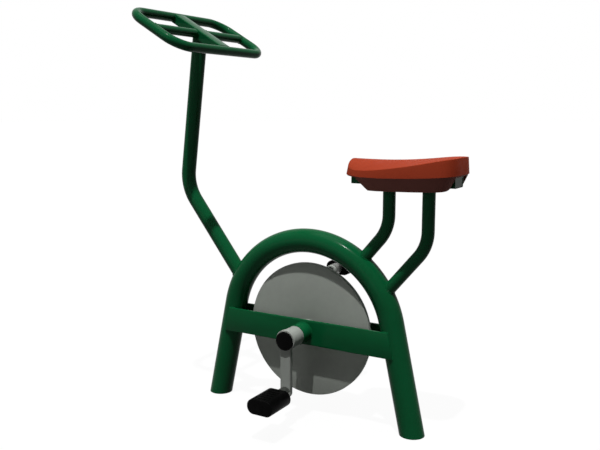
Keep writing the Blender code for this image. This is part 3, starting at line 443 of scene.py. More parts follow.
def settle(bm: BMesh, name: str, body: Body, finish: Finish, *replaced: str) -> None:
    """Turns a bmesh into a finished piece that rides on a body, and reports it.

    Args:
        bm: The shape; it is used up.
        name: Name of the piece.
        body: CAD body that it moves with.
        finish: Its finish.
        *replaced: CAD nodes that it stands for.
    """
    mesh = to_mesh(clean(bm), name)
    bm.free()
    mesh.shade_smooth()
    mesh.set_sharp_from_angle(angle=SMOOTH_ANGLE)
    mesh.materials.append(finish.material())
    made = link(name, mesh)
    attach(made, body.value)
    if replaced:
        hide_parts(*replaced)
    LOG.info("%s: %d faces, %s, on %s", made.name, len(mesh.polygons), finish.name, body.value)


def coat(bm: BMesh, name: str, *replaced: str) -> None:
    """Settles a green piece on the frame."""
    settle(bm, name, Body.FRAME, GREEN_COAT, *replaced)


def dress_nodes(finish: Finish, *nodes: str) -> None:
    """Gives CAD nodes that stay in view a better material.

    Args:
        finish: The finish.
        *nodes: Names of the nodes.
    """
    for node in nodes:
        mesh = frame["nodes"][node].data
        mesh.materials.clear()
        mesh.materials.append(finish.material())
        LOG.info("%s: CAD node kept, %s", node, finish.name)


def carve(bm: BMesh, *tools: BMesh) -> BMesh:
    """Cuts closed shapes out of a closed shape.

    Args:
        bm: The shape, changed in place.
        *tools: The shapes to cut out; they stay as they are.

    Returns:
        The same bmesh.
    """
    blank, *cutters = [link("helper", to_mesh(outward(shape), "helper")) for shape in (bm, *tools)]
    for cutter in cutters:
        step = blank.modifiers.new("carve", "BOOLEAN")
        step.operation, step.solver, step.object = "DIFFERENCE", "EXACT", cutter
    read_back(bm, blank)
    for helper in (blank, *cutters):
        mesh = helper.data
        bpy.data.objects.remove(helper)
        bpy.data.meshes.remove(mesh)
    return bm


def bevel(bm: BMesh, edges: Sequence[BMEdge], width: float, segments: int, clamp: bool = False) -> BMesh:
    """Rounds some edges, and gives the bmesh back."""
    bmesh.ops.bevel(bm, geom=edges, offset=width, offset_type="OFFSET", affect="EDGES", segments=segments,
                    profile=0.5, material=-1, clamp_overlap=clamp)
    return bm


def bevel_long(bm: BMesh, axis: Vector, least: float, width: float, segments: int) -> BMesh:
    """Rounds the edges that reach further than a length along an axis, and gives the bmesh back."""
    edges = [e for e in bm.edges if abs((e.verts[0].co - e.verts[1].co).dot(axis)) > least]
    return bevel(bm, edges, width, segments)


def round_edges(bm: BMesh, width: float, segments: int = 3, least: float = math.radians(40)) -> BMesh:
    """Rounds every edge where faces meet at more than an angle, and gives the bmesh back."""
    sharp = [e for e in clean(bm).edges if len(e.link_faces) == 2 and e.calc_face_angle() > least]
    return bevel(bm, sharp, width, segments, clamp=True)


def drum(radius: float, low: float, high: float, bore: float = 0.0) -> Profile:
    """Profile of a round piece between two reaches, with or without a bore."""
    return [(bore, low), (radius, low), (radius, high), (bore, high)]


def turned(profile: Profile, side: Side, steps: int = 64, centre: Vector = AXLE) -> BMesh:
    """Spins a profile round an axis along Y.

    Args:
        profile: (radius, reach from the middle plane) corners; a closed ring where none lies on the axis.
        side: Side of the bike that the reach points to.
        steps: Faces round the axis.
        centre: A point of the axis.

    Returns:
        A bmesh of the closed shape.
    """
    bm = bmesh.new()
    verts = [bm.verts.new(centre + Vector((radius, side.value * reach, 0.0))) for radius, reach in profile]
    edges = [bm.edges.new(pair) for pair in zip(verts[:-1], verts[1:])]
    if all(radius > 0 for radius, _ in profile):
        edges.append(bm.edges.new((verts[-1], verts[0])))
    bmesh.ops.spin(bm, geom=verts + edges, cent=centre, axis=ALONG_Y, dvec=ORIGIN, angle=FULL_TURN,
                   steps=steps, use_merge=True, use_duplicate=False)
    return clean(bm)


def block(low: Sequence[float], high: Sequence[float]) -> BMesh:
    """A box between two corners.

    Args:
        low: Its corner at the lower coordinates.
        high: The corner across from it.

    Returns:
        A bmesh of the box.
    """
    bm = bmesh.new()
    size, middle = Vector(high) - Vector(low), (Vector(high) + Vector(low)) / 2
    bmesh.ops.create_cube(bm, size=1.0, matrix=Matrix.Translation(middle) @ Matrix.Diagonal((*size, 1.0)))
    return bm


def circle(centre: Vector, radius: float, first: Vector, second: Vector, count: int) -> list[Vector]:
    """Points round a circle in the plane of two unit vectors."""
    return [centre + radius * (math.cos(a) * first + math.sin(a) * second)
            for a in (FULL_TURN * i / count for i in range(count))]


class TubeBender:
    """A round tube drawn by operators: a circle pushed along straight runs and spun round bends."""

    def __init__(self, start: Vector, along: Vector, radius: float, sides: int = 48) -> None:
        """Sets the first circle.

        Args:
            start: Its centre.
            along: Direction in which the tube sets off.
            radius: Outer radius of the tube.
            sides: Faces round the tube.
        """
        self.bm = bmesh.new()
        self.at = start.copy()
        self.along = along.normalized()
        turn = self.along.to_track_quat("Z", "Y").to_matrix().to_4x4()
        bmesh.ops.create_circle(self.bm, cap_ends=False, segments=sides, radius=radius,
                                matrix=Matrix.Translation(start) @ turn)
        self.end = list(self.bm.edges)

    def run(self, length: float) -> "TubeBender":
        """Pushes the end straight on.

        Args:
            length: How far.

        Returns:
            The bender itself.
        """
        made = bmesh.ops.extrude_edge_only(self.bm, edges=self.end)["geom"]
        verts = only(BMVert, made)
        bmesh.ops.translate(self.bm, verts=verts, vec=self.along * length)
        ring = set(verts)
        self.end = [e for e in only(BMEdge, made) if set(e.verts) <= ring]
        self.at += self.along * length
        return self

    def bend(self, corner: Vector, heading: Vector, radius: float, steps: int) -> "TubeBender":
        """Runs to a bend at a corner and round it.

        Args:
            corner: Where the straight middle lines would meet.
            heading: Direction after the bend.
            radius: Radius of the bend's middle line.
            steps: Rings round the bend.

        Returns:
            The bender itself.
        """
        heading = heading.normalized()
        turn = self.along.angle(heading)
        self.run((corner - self.at).dot(self.along) - radius * math.tan(turn / 2))
        axis = self.along.cross(heading).normalized()
        centre = self.at + axis.cross(self.along) * radius
        verts = list({v for e in self.end for v in e.verts})
        last = bmesh.ops.spin(self.bm, geom=verts + self.end, cent=centre, axis=axis, dvec=ORIGIN, angle=turn,
                              steps=steps, use_merge=False, use_duplicate=False)["geom_last"]
        self.end = only(BMEdge, last)
        self.at = centre + Matrix.Rotation(turn, 3, axis) @ (self.at - centre)
        self.along = heading
        return self

    def closed(self) -> BMesh:
        """The tube as one closed shape.

        Returns:
            The bmesh, its open ends filled.
        """
        bmesh.ops.remove_doubles(self.bm, verts=self.bm.verts, dist=MERGE)
        bmesh.ops.holes_fill(self.bm, edges=[e for e in self.bm.edges if e.is_boundary], sides=0)
        return outward(self.bm)


def cut_level(bm: BMesh, point: Vector, normal: Vector) -> BMesh:
    """Cuts a closed shape off at a plane and closes it again.

    Args:
        bm: The shape, changed in place.
        point: A point of the plane.
        normal: Direction of the side that goes.

    Returns:
        The same bmesh.
    """
    cut = bmesh.ops.bisect_plane(bm, geom=bm.verts[:] + bm.edges[:] + bm.faces[:], plane_co=point,
                                 plane_no=normal, clear_outer=True, dist=MERGE)["geom_cut"]
    bmesh.ops.holes_fill(bm, edges=only(BMEdge, cut), sides=0)
    return bm


# ---- Weld seams


@dataclass(frozen=True)
class WeldBead:
    """A ripple of weld metal along a seam, under the same coat as the tubes."""

    radius: float = 0.0019
    ripple: float = 0.0024
    ripple_share: float = 0.14
    step: float = 0.0008

    def lay(self, name: str, points: Sequence[Vector], closed: bool = True) -> None:
        """Lays a bead along a row of points.

        Args:
            name: Name of the piece.
            points: The seam.
            closed: Whether it runs back to its start.
        """
        path = [*points, points[0]] if closed else points
        marks: list[Vector] = []
        for first, second in zip(path[:-1], path[1:]):
            count = max(1, round((second - first).length / self.step))
            marks += [first.lerp(second, i / count) for i in range(count)]
        if not closed:
            marks.append(path[-1])
        curve = bpy.data.curves.new(name, "CURVE")
        curve.dimensions = "3D"
        curve.bevel_depth = self.radius
        curve.bevel_resolution = 2
        curve.use_fill_caps = not closed
        spline = curve.splines.new("POLY")
        spline.use_cyclic_u = closed
        spline.points.add(len(marks) - 1)
        for i, (point, mark) in enumerate(zip(spline.points, marks)):
            point.co = (*mark, 1.0)
            point.radius = 1 + self.ripple_share * math.sin(FULL_TURN * i * self.step / self.ripple)
        rod = link("rod", curve)
        bm = read_back(bmesh.new(), rod)
        bpy.data.objects.remove(rod)
        bpy.data.curves.remove(curve)
        coat(bm, name)


def seam_round(start: Vector, stop: Vector, radius: float, depth: Callable[[Vector], float]) -> list[Vector]:
    """Where a straight tube's surface meets another surface.

    Args:
        start: A point of the tube's middle line outside the other piece.
        stop: A point of it far enough inside.
        radius: Outer radius of the tube.
        depth: Distance of a point from the other surface, negative inside it.

    Returns:
        The points of the seam, in order round the tube.
    """
    along = (stop - start).normalized()
    first = along.orthogonal().normalized()
    seam = []
    for line in circle(start, radius, first, along.cross(first), 72):
        low, high = 0.0, (stop - start).length
        for _ in range(40):
            middle = (low + high) / 2
            low, high = (middle, high) if depth(line + along * middle) > 0 else (low, middle)
        seam.append(line + along * low)
    return seam


def depth_in_line(start: Vector, along: Vector, radius: float) -> Callable[[Vector], float]:
    """Depth function of a straight round tube."""
    return lambda point: (point - start - along * (point - start).dot(along)).length - radius


# ---- Arch, bars and housings


@dataclass
class Arch:
    """The bent tube that everything is welded to, and the bars and housings across its legs."""

    tube: float = 0.0761
    wall: float = 0.0032
    line_height: float = 0.5643
    bend_radius: float = 0.2915
    splay: float = math.radians(12.3)
    overrun: float = 0.04
    bar_depth: float = 0.080
    bar_thickness: float = 0.008
    bar_spread: float = 0.084
    bar_edge: float = 0.0012
    housing: float = 0.064
    housing_inner: float = 0.030
    housing_outer: float = 0.087
    housing_bore: float = 0.044
    housing_edge: float = 0.0008
    bearing: float = 0.052
    bearing_shoulder: float = 0.0687

    @property
    def centre(self) -> Vector:
        """Centre of the bend."""
        return off_axle(0.0, self.line_height - self.bend_radius)

    def leg_x(self, height: float) -> float:
        """Distance of a leg's middle line from the axle at a height."""
        top = self.centre.z + self.bend_radius * math.sin(self.splay)
        return self.bend_radius * math.cos(self.splay) + (top - height) * math.tan(self.splay)

    def depth(self, point: Vector) -> float:
        """Distance of a point from the arch tube's surface.

        Args:
            point: The point.

        Returns:
            The distance, negative inside the tube.
        """
        away = Vector((point.x - AXLE_X, 0.0, point.z - self.centre.z))
        if away.z > away.length * math.sin(self.splay):
            off = away.length - self.bend_radius
        else:
            off = (abs(away.x) - self.leg_x(point.z)) * math.cos(self.splay)
        return math.hypot(off, point.y) - self.tube / 2

    def foot(self, corner: Vector, direction: Vector) -> Vector:
        """Point where a straight line from a corner first meets the arch's middle line.

        Args:
            corner: The corner.
            direction: Direction of the line, of length 1.

        Returns:
            The point.
        """
        away = corner - self.centre
        lead = away.dot(direction)
        inside = lead * lead - away.length_squared + self.bend_radius ** 2
        return corner + direction * (-lead - math.sqrt(inside))

    def solid(self, radius: float, sides: int, steps: int) -> BMesh:
        """A closed bent rod on the arch's middle line, cut off level at the ground.

        Args:
            radius: Its radius.
            sides: Faces round it.
            steps: Rings round the bend.

        Returns:
            The shape.
        """
        up = Vector((math.sin(self.splay), 0.0, math.cos(self.splay)))
        down = Vector((up.x, 0.0, -up.z))
        legs_meet = off_axle(0.0, self.leg_x(0.0) / math.tan(self.splay))
        bender = TubeBender(off_axle(-self.leg_x(-self.overrun), -self.overrun), up, radius, sides)
        bender.bend(legs_meet, down, self.bend_radius, steps)
        bender.run((bender.at.z + self.overrun) / math.cos(self.splay))
        return cut_level(bender.closed(), ORIGIN, -ALONG_Z)

    def build_tube(self) -> None:
        """The arch tube with its bore open at the feet."""
        bore = self.solid(self.tube / 2 - self.wall, 32, 36)
        feet = [v for v in bore.verts if v.co.z < GAP]
        bmesh.ops.translate(bore, verts=feet, vec=-ALONG_Z * self.wall)
        coat(carve(self.solid(self.tube / 2, 64, 72), bore), "arch_bent_tube", "arch_tube")
        dress_nodes(GREEN_COAT, "foot_plate_front", "foot_plate_rear")

    def build_side(self, side: Side) -> None:
        """The flat bar of one side with its housing and their weld seams.

        Args:
            side: Side of the bike.
        """
        reach = self.bar_spread / 2
        inner = reach - self.bar_thickness
        low, high = AXLE_HEIGHT - self.bar_depth / 2, AXLE_HEIGHT + self.bar_depth / 2
        faces = sorted((side.value * inner, side.value * reach))
        bar = block((AXLE_X - 1, faces[0], low), (AXLE_X + 1, faces[1], high))
        for vert in bar.verts:
            vert.co.x = AXLE_X + math.copysign(self.leg_x(vert.co.z), vert.co.x - AXLE_X)
        round_edges(bar, self.bar_edge, 2)
        hole = turned(drum(self.housing / 2 + GAP, 0.0, 2 * reach), side)
        carve(bar, self.solid(self.tube / 2 + GAP, 48, 48), hole)
        coat(bar, f"flat_bar_{side.word}", f"side_bar_{side.word}")
        outer, bore, seat = self.housing / 2, self.housing_bore / 2, self.bearing / 2 + GAP
        profile = [(bore, self.housing_inner), (outer, self.housing_inner), (outer, self.housing_outer),
                   (seat, self.housing_outer), (seat, self.bearing_shoulder), (bore, self.bearing_shoulder)]
        housing = round_edges(turned(profile, side), self.housing_edge)
        coat(housing, f"housing_{side.word}", f"bearing_housing_{side.word}")
        self.weld_side(side, low, high, inner)

    def weld_side(self, side: Side, low: float, high: float, inner: float) -> None:
        """Weld seams of one side: round the housing and at both ends of the bar.

        Args:
            side: Side of the bike.
            low: Height of the bar's lower edge.
            high: Height of its upper edge.
            inner: Distance of its inner face from the middle plane.
        """
        centre = Vector((AXLE_X, side.value * self.bar_spread / 2, AXLE_HEIGHT))
        WeldBead().lay(f"weld_housing_{side.word}", circle(centre, self.housing / 2, ALONG_X, ALONG_Z, 64))
        lap = math.acos(inner / (self.tube / 2))
        turns = [lap * i / 8 for i in range(9)]
        for word, sign in (("front", -1.0), ("rear", 1.0)):
            path = [self.on_leg(sign, side, low, t) for t in reversed(turns)]
            path += [self.on_leg(sign, side, low + (high - low) * i / 8, 0.0) for i in range(1, 8)]
            path += [self.on_leg(sign, side, high, t) for t in turns]
            WeldBead().lay(f"weld_bar_{word}_{side.word}", path, closed=False)

    def on_leg(self, sign: float, side: Side, height: float, turn: float) -> Vector:
        """Point on a leg's surface, turned from its side towards the axle.

        Args:
            sign: -1 for the front leg, 1 for the rear one.
            side: Side of the bike.
            height: Height of the point.
            turn: Angle round the leg, 0 straight out along Y.

        Returns:
            The point.
        """
        radius = self.tube / 2
        out = self.leg_x(height) - radius * math.sin(turn) / math.cos(self.splay)
        return Vector((AXLE_X + sign * out, side.value * radius * math.cos(turn), height))

    def build_post(self, post: BMesh, start: Vector, foot: Vector, radius: float, bead: float,
                   names: tuple[str, str, str]) -> None:
        """Fits a finished post to the arch and welds its foot.

        Args:
            post: The closed shape of the post.
            start: A point of its lower run, outside the arch.
            foot: Where that run meets the arch's middle line.
            radius: Radius of the post.
            bead: Radius of the weld bead.
            names: Names of the post's piece, of its CAD node and of the bead.
        """
        piece, node, weld = names
        coat(carve(post, self.solid(self.tube / 2, 48, 60)), piece, node)
        WeldBead(bead).lay(weld, seam_round(start, foot, radius, self.depth))

    def build(self) -> None:
        """Builds the arch with both sides."""
        self.build_tube()
        for side in Side:
            self.build_side(side)


# ---- Handlebar


@dataclass
class Handlebar:
    """The bent post, and the ring of round tube with a flat box tube along it and two round ones across."""

    arch: Arch
    post: float = 0.0483
    post_bend_radius: float = 0.140
    post_bend_before: float = 0.4886
    post_bend_height: float = 0.7122
    post_foot_slope: float = math.radians(37.7)
    foot_bead: float = 0.0024
    top_bead: float = 0.0022
    ring_before: float = 0.4206
    ring_height: float = 1.220
    ring_tilt: float = math.radians(30.6)
    span_along: float = 0.227
    span_across: float = 0.460
    corner_radius: float = 0.062
    ring_tube: float = 0.030
    end_merge: float = 0.0001
    centre_width: float = 0.050
    centre_stop: float = 0.008
    centre_edge: float = 0.003
    cross_tube: float = 0.028

    @property
    def middle(self) -> Vector:
        """Middle of the ring."""
        return off_axle(-self.ring_before, self.ring_height)

    @property
    def along(self) -> Vector:
        """Direction along the bike in the ring's plane, down its tilt towards the seat."""
        return Vector((math.cos(self.ring_tilt), 0.0, -math.sin(self.ring_tilt)))

    @property
    def square(self) -> Vector:
        """Direction square to the ring, upwards."""
        return self.along.cross(ALONG_Y)

    def ring_solid(self) -> BMesh:
        """The ring as one endless rod, begun between two joints, since caps in a joint upset its cut.

        Returns:
            The shape.
        """
        along, half_a, half_c = self.along, self.span_along / 2, self.span_across / 2
        first = self.middle + along * half_a + ALONG_Y * (half_c / 2)
        bender = TubeBender(first, ALONG_Y, self.ring_tube / 2, 40)
        turns = (((1, 1), -along), ((-1, 1), -ALONG_Y), ((-1, -1), along), ((1, -1), ALONG_Y))
        for (sa, sc), heading in turns:
            corner = self.middle + along * (sa * half_a) + ALONG_Y * (sc * half_c)
            bender.bend(corner, heading, self.corner_radius, 14)
        bender.run((first - bender.at).dot(ALONG_Y))
        bm = bender.closed()
        bmesh.ops.delete(bm, geom=[f for f in bm.faces if len(f.verts) > 4], context="FACES_ONLY")
        bmesh.ops.remove_doubles(bm, verts=bm.verts, dist=self.end_merge)
        return bm

    def centre_box(self, grow: float) -> BMesh:
        """The flat box tube along the ring, with round long edges.

        Args:
            grow: How much further its sides stand out.

        Returns:
            The shape, as one solid.
        """
        reach = self.span_along / 2 - self.centre_stop
        half, depth = self.centre_width / 2 + grow, self.ring_tube / 2 + grow
        bm = block((-reach, -half, -depth), (reach, half, depth))
        bevel_long(bm, ALONG_X, reach, self.centre_edge, 4)
        bm.transform(Matrix.Translation(self.middle) @ Matrix.Rotation(self.ring_tilt, 4, "Y"))
        return bm

    def build_ring(self) -> None:
        """The ring, the tubes in it and the seams where they meet."""
        ring, middle, radius = self.ring_solid(), self.middle, self.cross_tube / 2
        coat(carve(self.centre_box(0.0), ring), "handle_centre_tube", "handlebar_centre_tube")
        coat(ring.copy(), "handle_ring", "handlebar_ring")
        centre, side_face = self.centre_box(GAP), self.centre_width / 2
        for side in Side:
            spot = middle + ALONG_Y * (side.value * self.span_across / 2)
            rod = TubeBender(spot, middle - spot, radius, 36).run((middle - spot).length).closed()
            name = f"cross_tube_{side.word}"
            coat(carve(rod, ring, centre), f"handle_{name}", f"handlebar_{name}")
            start = middle.lerp(spot, 0.5)
            skins = {"ring": (spot, depth_in_line(spot, self.along, self.ring_tube / 2)),
                     "cross": (middle, lambda point: abs(point.y) - side_face)}
            for joint, (target, skin) in skins.items():
                WeldBead().lay(f"weld_{joint}_{side.word}", seam_round(start, target, radius, skin))
        for word, sign in (("front", -1.0), ("rear", 1.0)):
            WeldBead().lay(f"weld_ring_{word}", self.end_seam(sign))
        ring.free()
        centre.free()

    def end_seam(self, sign: float) -> list[Vector]:
        """Seam round an end of the box tube, where it meets the ring.

        Args:
            sign: -1 for the front end, 1 for the rear one.

        Returns:
            The points of the seam.
        """
        radius, half = self.ring_tube / 2, self.centre_width / 2
        steep = math.acos(self.centre_stop / radius)
        rises = [steep * i / 12 for i in range(-12, 13)]
        turns = [(half, rise) for rise in rises] + [(-half, -rise) for rise in rises]
        return [self.middle + self.along * (sign * (self.span_along / 2 - radius * math.cos(rise)))
                + ALONG_Y * across + self.square * (radius * math.sin(rise)) for across, rise in turns]

    def build_post(self) -> None:
        """The post from the arch to the underside of the box tube, with a seam at each end."""
        middle, radius = self.middle, self.post / 2
        corner = off_axle(-self.post_bend_before, self.post_bend_height)
        down = Vector((math.sin(self.post_foot_slope), 0.0, -math.cos(self.post_foot_slope)))
        foot = self.arch.foot(corner, down)
        tube = TubeBender(foot, -down, radius).bend(corner, middle - corner, self.post_bend_radius, 24)
        tube.run((middle - tube.at).length + self.post)
        base = middle - self.square * (self.ring_tube / 2 + GAP)
        post = cut_level(tube.closed(), base, self.square)
        self.arch.build_post(post, corner.lerp(foot, 0.5), foot, radius, self.foot_bead,
                             ("handle_post", "handlebar_post", "weld_handle_post"))
        beyond = middle + (middle - corner).normalized() * self.post
        top = seam_round(middle.lerp(corner, 0.2), beyond, radius,
                         lambda point: (base - point).dot(self.square))
        WeldBead(self.top_bead).lay("weld_handle_post_top", top)

    def build(self) -> None:
        """Builds the ring and the post."""
        self.build_ring()
        self.build_post()


# ---- Seat


@dataclass
class SeatFrame:
    """The two bent seat posts and the box tube on top of them."""

    arch: Arch
    post: float = 0.038
    bend_radius: float = 0.120
    foot_slope: float = math.radians(40.2)
    bead: float = 0.0022
    bead_drop: float = 0.0004
    seam_start: float = 0.045
    bar_height: float = 0.7565
    front_behind: float = 0.2697
    front_drop: float = 0.1342
    rear_behind: float = 0.3932
    rear_drop: float = 0.1751
    bar_depth: float = 0.030
    bar_width: float = 0.066
    bar_wall: float = 0.0025
    bar_edge: float = 0.0035
    bar_front: float = 0.1605
    bar_rear: float = 0.481
    plate_depth: float = 0.0012

    def build(self) -> None:
        """Builds the posts, the bar and the bolts' finish."""
        self.build_post("front", self.front_behind, self.front_drop)
        self.build_post("rear", self.rear_behind, self.rear_drop)
        self.build_bar()
        dress_nodes(BRIGHT_STEEL, *(f"seat_{kind}_{n}" for n in range(1, 5) for kind in ("bolt", "nut")))

    def build_post(self, word: str, behind: float, drop: float) -> None:
        """One post from the arch to the bar, with a seam at each end.

        Args:
            word: front or rear.
            behind: Distance of its upright part behind the axle.
            drop: Distance of its bend below the bar.
        """
        corner, radius = off_axle(behind, self.bar_height - drop), self.post / 2
        up = Vector((math.sin(self.foot_slope), 0.0, math.cos(self.foot_slope)))
        foot = self.arch.foot(corner, -up)
        tube = TubeBender(foot, up, radius, 40).bend(corner, ALONG_Z, self.bend_radius, 20)
        tube.run(self.bar_height - tube.at.z)
        self.arch.build_post(tube.closed(), corner - up * self.seam_start, foot, radius, self.bead,
                             (f"saddle_post_{word}", f"seat_post_{word}", f"weld_saddle_post_foot_{word}"))
        top = off_axle(behind, self.bar_height - self.bead_drop)
        WeldBead(self.bead).lay(f"weld_saddle_post_top_{word}", circle(top, radius, ALONG_X, ALONG_Y, 48))

    def build_bar(self) -> None:
        """The box tube with round long edges and a plate set into each end."""
        half = self.bar_width / 2
        bm = block((AXLE_X + self.bar_front, -half, self.bar_height),
                   (AXLE_X + self.bar_rear, half, self.bar_height + self.bar_depth))
        bevel_long(bm, ALONG_X, self.bar_width, self.bar_edge, 4)
        bm.normal_update()
        for end in [f for f in bm.faces if abs(f.normal.x) > 0.9]:
            bmesh.ops.inset_region(bm, faces=[end], thickness=self.bar_wall, depth=0.0)
            bmesh.ops.inset_region(bm, faces=[end], thickness=GAP, depth=-self.plate_depth)
        coat(bm, "saddle_bar", "seat_bar", "seat_bar_end_front", "seat_bar_end_rear")


@dataclass(frozen=True)
class Row:
    """A ring of the seat: what it lies on, its share of the outline, and how far it is drawn in and down."""

    place: Callable[[float, "Row"], Triple]
    keep: float
    inset: float
    drop: float


@dataclass
class Seat:
    """The moulded orange shell and the dark tray under it; lengths run from the axle, rises from the bar."""

    bar_top: float = 0.7865
    nose: float = 0.1445
    middle: float = 0.335
    tail: float = 0.493
    width: float = 0.222
    nose_taper: float = 0.515
    taper_power: float = 2.6
    nose_power: float = 7.0
    tail_power: float = 4.0
    rim_dip: float = 0.218
    rim_dip_rise: float = -0.006
    rim_nose_rise: float = -0.0015
    rim_tail_rise: float = 0.007
    rim_power: float = 1.6
    crease_nose_rise: float = 0.0045
    crease_tail_rise: float = 0.0555
    crease_power: float = 1.4
    crease_inset: float = 0.003
    crease_edge: float = 0.0035
    top_nose: float = 0.0437
    top_tail: float = 0.062
    top_sag: float = 0.0087
    nose_slant: float = 0.0035
    tail_roll: float = 0.006
    edge_power: float = 8.0
    wall: float = 0.004
    tray_inset: float = 0.002
    tray_lip: float = 0.003
    tray_step: float = 0.006
    tray_draft: float = 0.0015
    tray_sheet: float = 0.004
    skirt_depth: float = 0.0365
    skirt_lean: float = 0.018
    skirt_wall: float = 0.004
    skirt_edge: float = 0.0012
    stations: int = 160
    # Shares of the outline at the rings of the top, from its edge to its middle
    keeps: tuple[float, ...] = (0.985, 0.96, 0.92, 0.86, 0.78, 0.68, 0.56, 0.42, 0.27, 0.12)
    # Share of the skirt's depth at places from the nose (-1) to the tail (1)
    hang_shares: Profile = (
        (-0.79, 0.0), (-0.72, 0.5), (-0.65, 1.0), (-0.45, 1.0), (-0.25, 0.98), (-0.05, 0.98), (0.2, 0.99),
        (0.4, 1.0), (0.6, 1.01), (0.75, 1.03), (0.83, 1.04), (0.88, 1.04), (0.925, 1.03), (0.955, 1.0),
        (0.978, 0.9), (0.99, 0.0))

    def share(self, x: float) -> float:
        """Share of the way from the nose to the tail."""
        return min(max((x - self.nose) / (self.tail - self.nose), 0.0), 1.0)

    def half(self, x: float) -> float:
        """Half the width, before the corners are rounded."""
        return self.width / 2 * (1 - self.nose_taper * (1 - self.share(x)) ** self.taper_power)

    def spot(self, angle: float, keep: float, inset: float) -> Triple:
        """Plan point of the seat.

        Args:
            angle: Angle round the seat, 0 at the tail and half a turn at the nose.
            keep: Share of the outline that the point lies at.
            inset: Distance that the outline is drawn in.

        Returns:
            x from the axle, y, and the reach from nose (-1) to tail (1).
        """
        # Stations crowd at the corners, where the outline turns
        reach = math.copysign(1 - (1 - abs(math.cos(angle))) ** 2.0, math.cos(angle))
        length = self.tail - self.middle if reach > 0 else self.middle - self.nose
        power = self.tail_power if reach > 0 else self.nose_power
        spread = (1 - abs(reach) ** power) ** (1 / power)
        half = self.half(self.middle + length * reach)
        x = self.middle + keep * (length - inset) * reach
        return x, math.copysign(keep * (half - inset) * spread, math.sin(angle)), reach

    def rim(self, x: float) -> float:
        """Height of the shell's lower rim, which dips behind the nose.

        Args:
            x: Distance behind the axle.

        Returns:
            The height.
        """
        behind = x > self.rim_dip
        end, rise = (self.tail, self.rim_tail_rise) if behind else (self.nose, self.rim_nose_rise)
        share = (x - self.rim_dip) / (end - self.rim_dip)
        return self.bar_top + self.rim_dip_rise + (rise - self.rim_dip_rise) * share ** self.rim_power

    def crease(self, x: float) -> float:
        """Height of the shoulder line along each side."""
        rise = self.crease_tail_rise - self.crease_nose_rise
        return self.bar_top + self.crease_nose_rise + rise * self.share(x) ** self.crease_power

    def crown(self, x: float) -> float:
        """Height of the shell's middle line."""
        line = self.top_nose + (self.top_tail - self.top_nose) * self.share(x)
        return self.bar_top + line - self.top_sag * math.sin(math.pi * self.share(x))

    def on_top(self, angle: float, row: Row) -> Triple:
        """Point of the arched top, whose front leans back and whose tail rolls down.

        Args:
            angle: Angle round the seat.
            row: The ring; its drop runs from the outer skin.

        Returns:
            The point.
        """
        x, y, reach = self.spot(angle, row.keep, self.crease_inset + row.inset)
        across = min(abs(y) / self.half(x), 1.0)
        height = self.crease(x) + (self.crown(x) - self.crease(x)) * (1 - across ** 2)
        height -= self.tail_roll * (row.keep * max(reach, 0.0)) ** self.edge_power
        up = (height - self.rim(x)) / (self.crown(x) - self.rim(x))
        back = self.nose_slant * (row.keep * max(-reach, 0.0)) ** self.edge_power * up
        return AXLE_X + x + back, y, height - row.drop

    def on_rim(self, angle: float, row: Row) -> Triple:
        """Point some way below the shell's rim."""
        x, y, _ = self.spot(angle, row.keep, row.inset)
        return AXLE_X + x, y, self.rim(x) - row.drop

    def on_skirt(self, angle: float, row: Row) -> Triple:
        """Point of the skirt, at its hem or where its inner face meets the sheet.

        Args:
            angle: Angle round the seat.
            row: The ring; its inset is the skirt's thickness, 0 on the outer face, and its drop the skirt's
                depth, 0 for the underside of the sheet.

        Returns:
            The point.
        """
        places, shares = zip(*self.hang_shares)
        hang = float(np.interp(self.spot(angle, row.keep, 0.0)[2], places, shares))
        lean = self.tray_inset + self.skirt_lean * hang
        x, y, _ = self.spot(angle, row.keep, max(lean, self.tray_step) + row.inset if row.inset else lean)
        hem = self.rim(x) - GAP - self.tray_lip - row.drop * hang
        return AXLE_X + x, y, hem if row.drop else self.bar_top + GAP

    def on_sheet(self, angle: float, row: Row) -> Triple:
        """Point on the top of the tray's sheet, some way above the seat bar."""
        x, y, _ = self.spot(angle, row.keep, row.inset)
        return AXLE_X + x, y, self.bar_top + GAP - row.drop

    def rings(self, bm: BMesh, rows: Sequence[Row]) -> list[list[BMVert]]:
        """Rings of the seat, each extruded from the one before and moved into place.

        Args:
            bm: The shape under work.
            rows: How each ring lies.

        Returns:
            The rings in order.
        """
        made: list[list[BMVert]] = []
        for row in rows:
            if not made:
                start = bmesh.ops.create_circle(bm, cap_ends=False, segments=self.stations, radius=1.0)
                made.append(list(start["verts"]))
            else:
                new = bmesh.ops.extrude_edge_only(bm, edges=self.loop(bm, made[-1]))["geom"]
                fresh = set(only(BMVert, new))
                pairs = ((e.other_vert(v), v) for v in fresh for e in v.link_edges)
                above = {below: v for below, v in pairs if below not in fresh}
                made.append([above[v] for v in made[-1]])
            for i, vert in enumerate(made[-1]):
                vert.co = row.place(FULL_TURN * (i + 0.5) / self.stations, row)
        for ring in (made[0], made[-1]):
            bmesh.ops.contextual_create(bm, geom=self.loop(bm, ring))
        outward(bm)
        return made

    def loop(self, bm: BMesh, ring: Sequence[BMVert]) -> list[BMEdge]:
        """The edges of a ring."""
        return [bm.edges.get((ring[i], ring[(i + 1) % len(ring)])) for i in range(len(ring))]

    def mould(self, rows: Sequence[Row], edged: slice, width: float) -> BMesh:
        """A closed shape from rings, with some of them rounded.

        Args:
            rows: How each ring lies.
            edged: Which rings are edges.
            width: Width of the round.

        Returns:
            The shape.
        """
        bm = bmesh.new()
        edges = [e for ring in self.rings(bm, rows)[edged] for e in self.loop(bm, ring)]
        return bevel(bm, edges, width, 4, clamp=True)

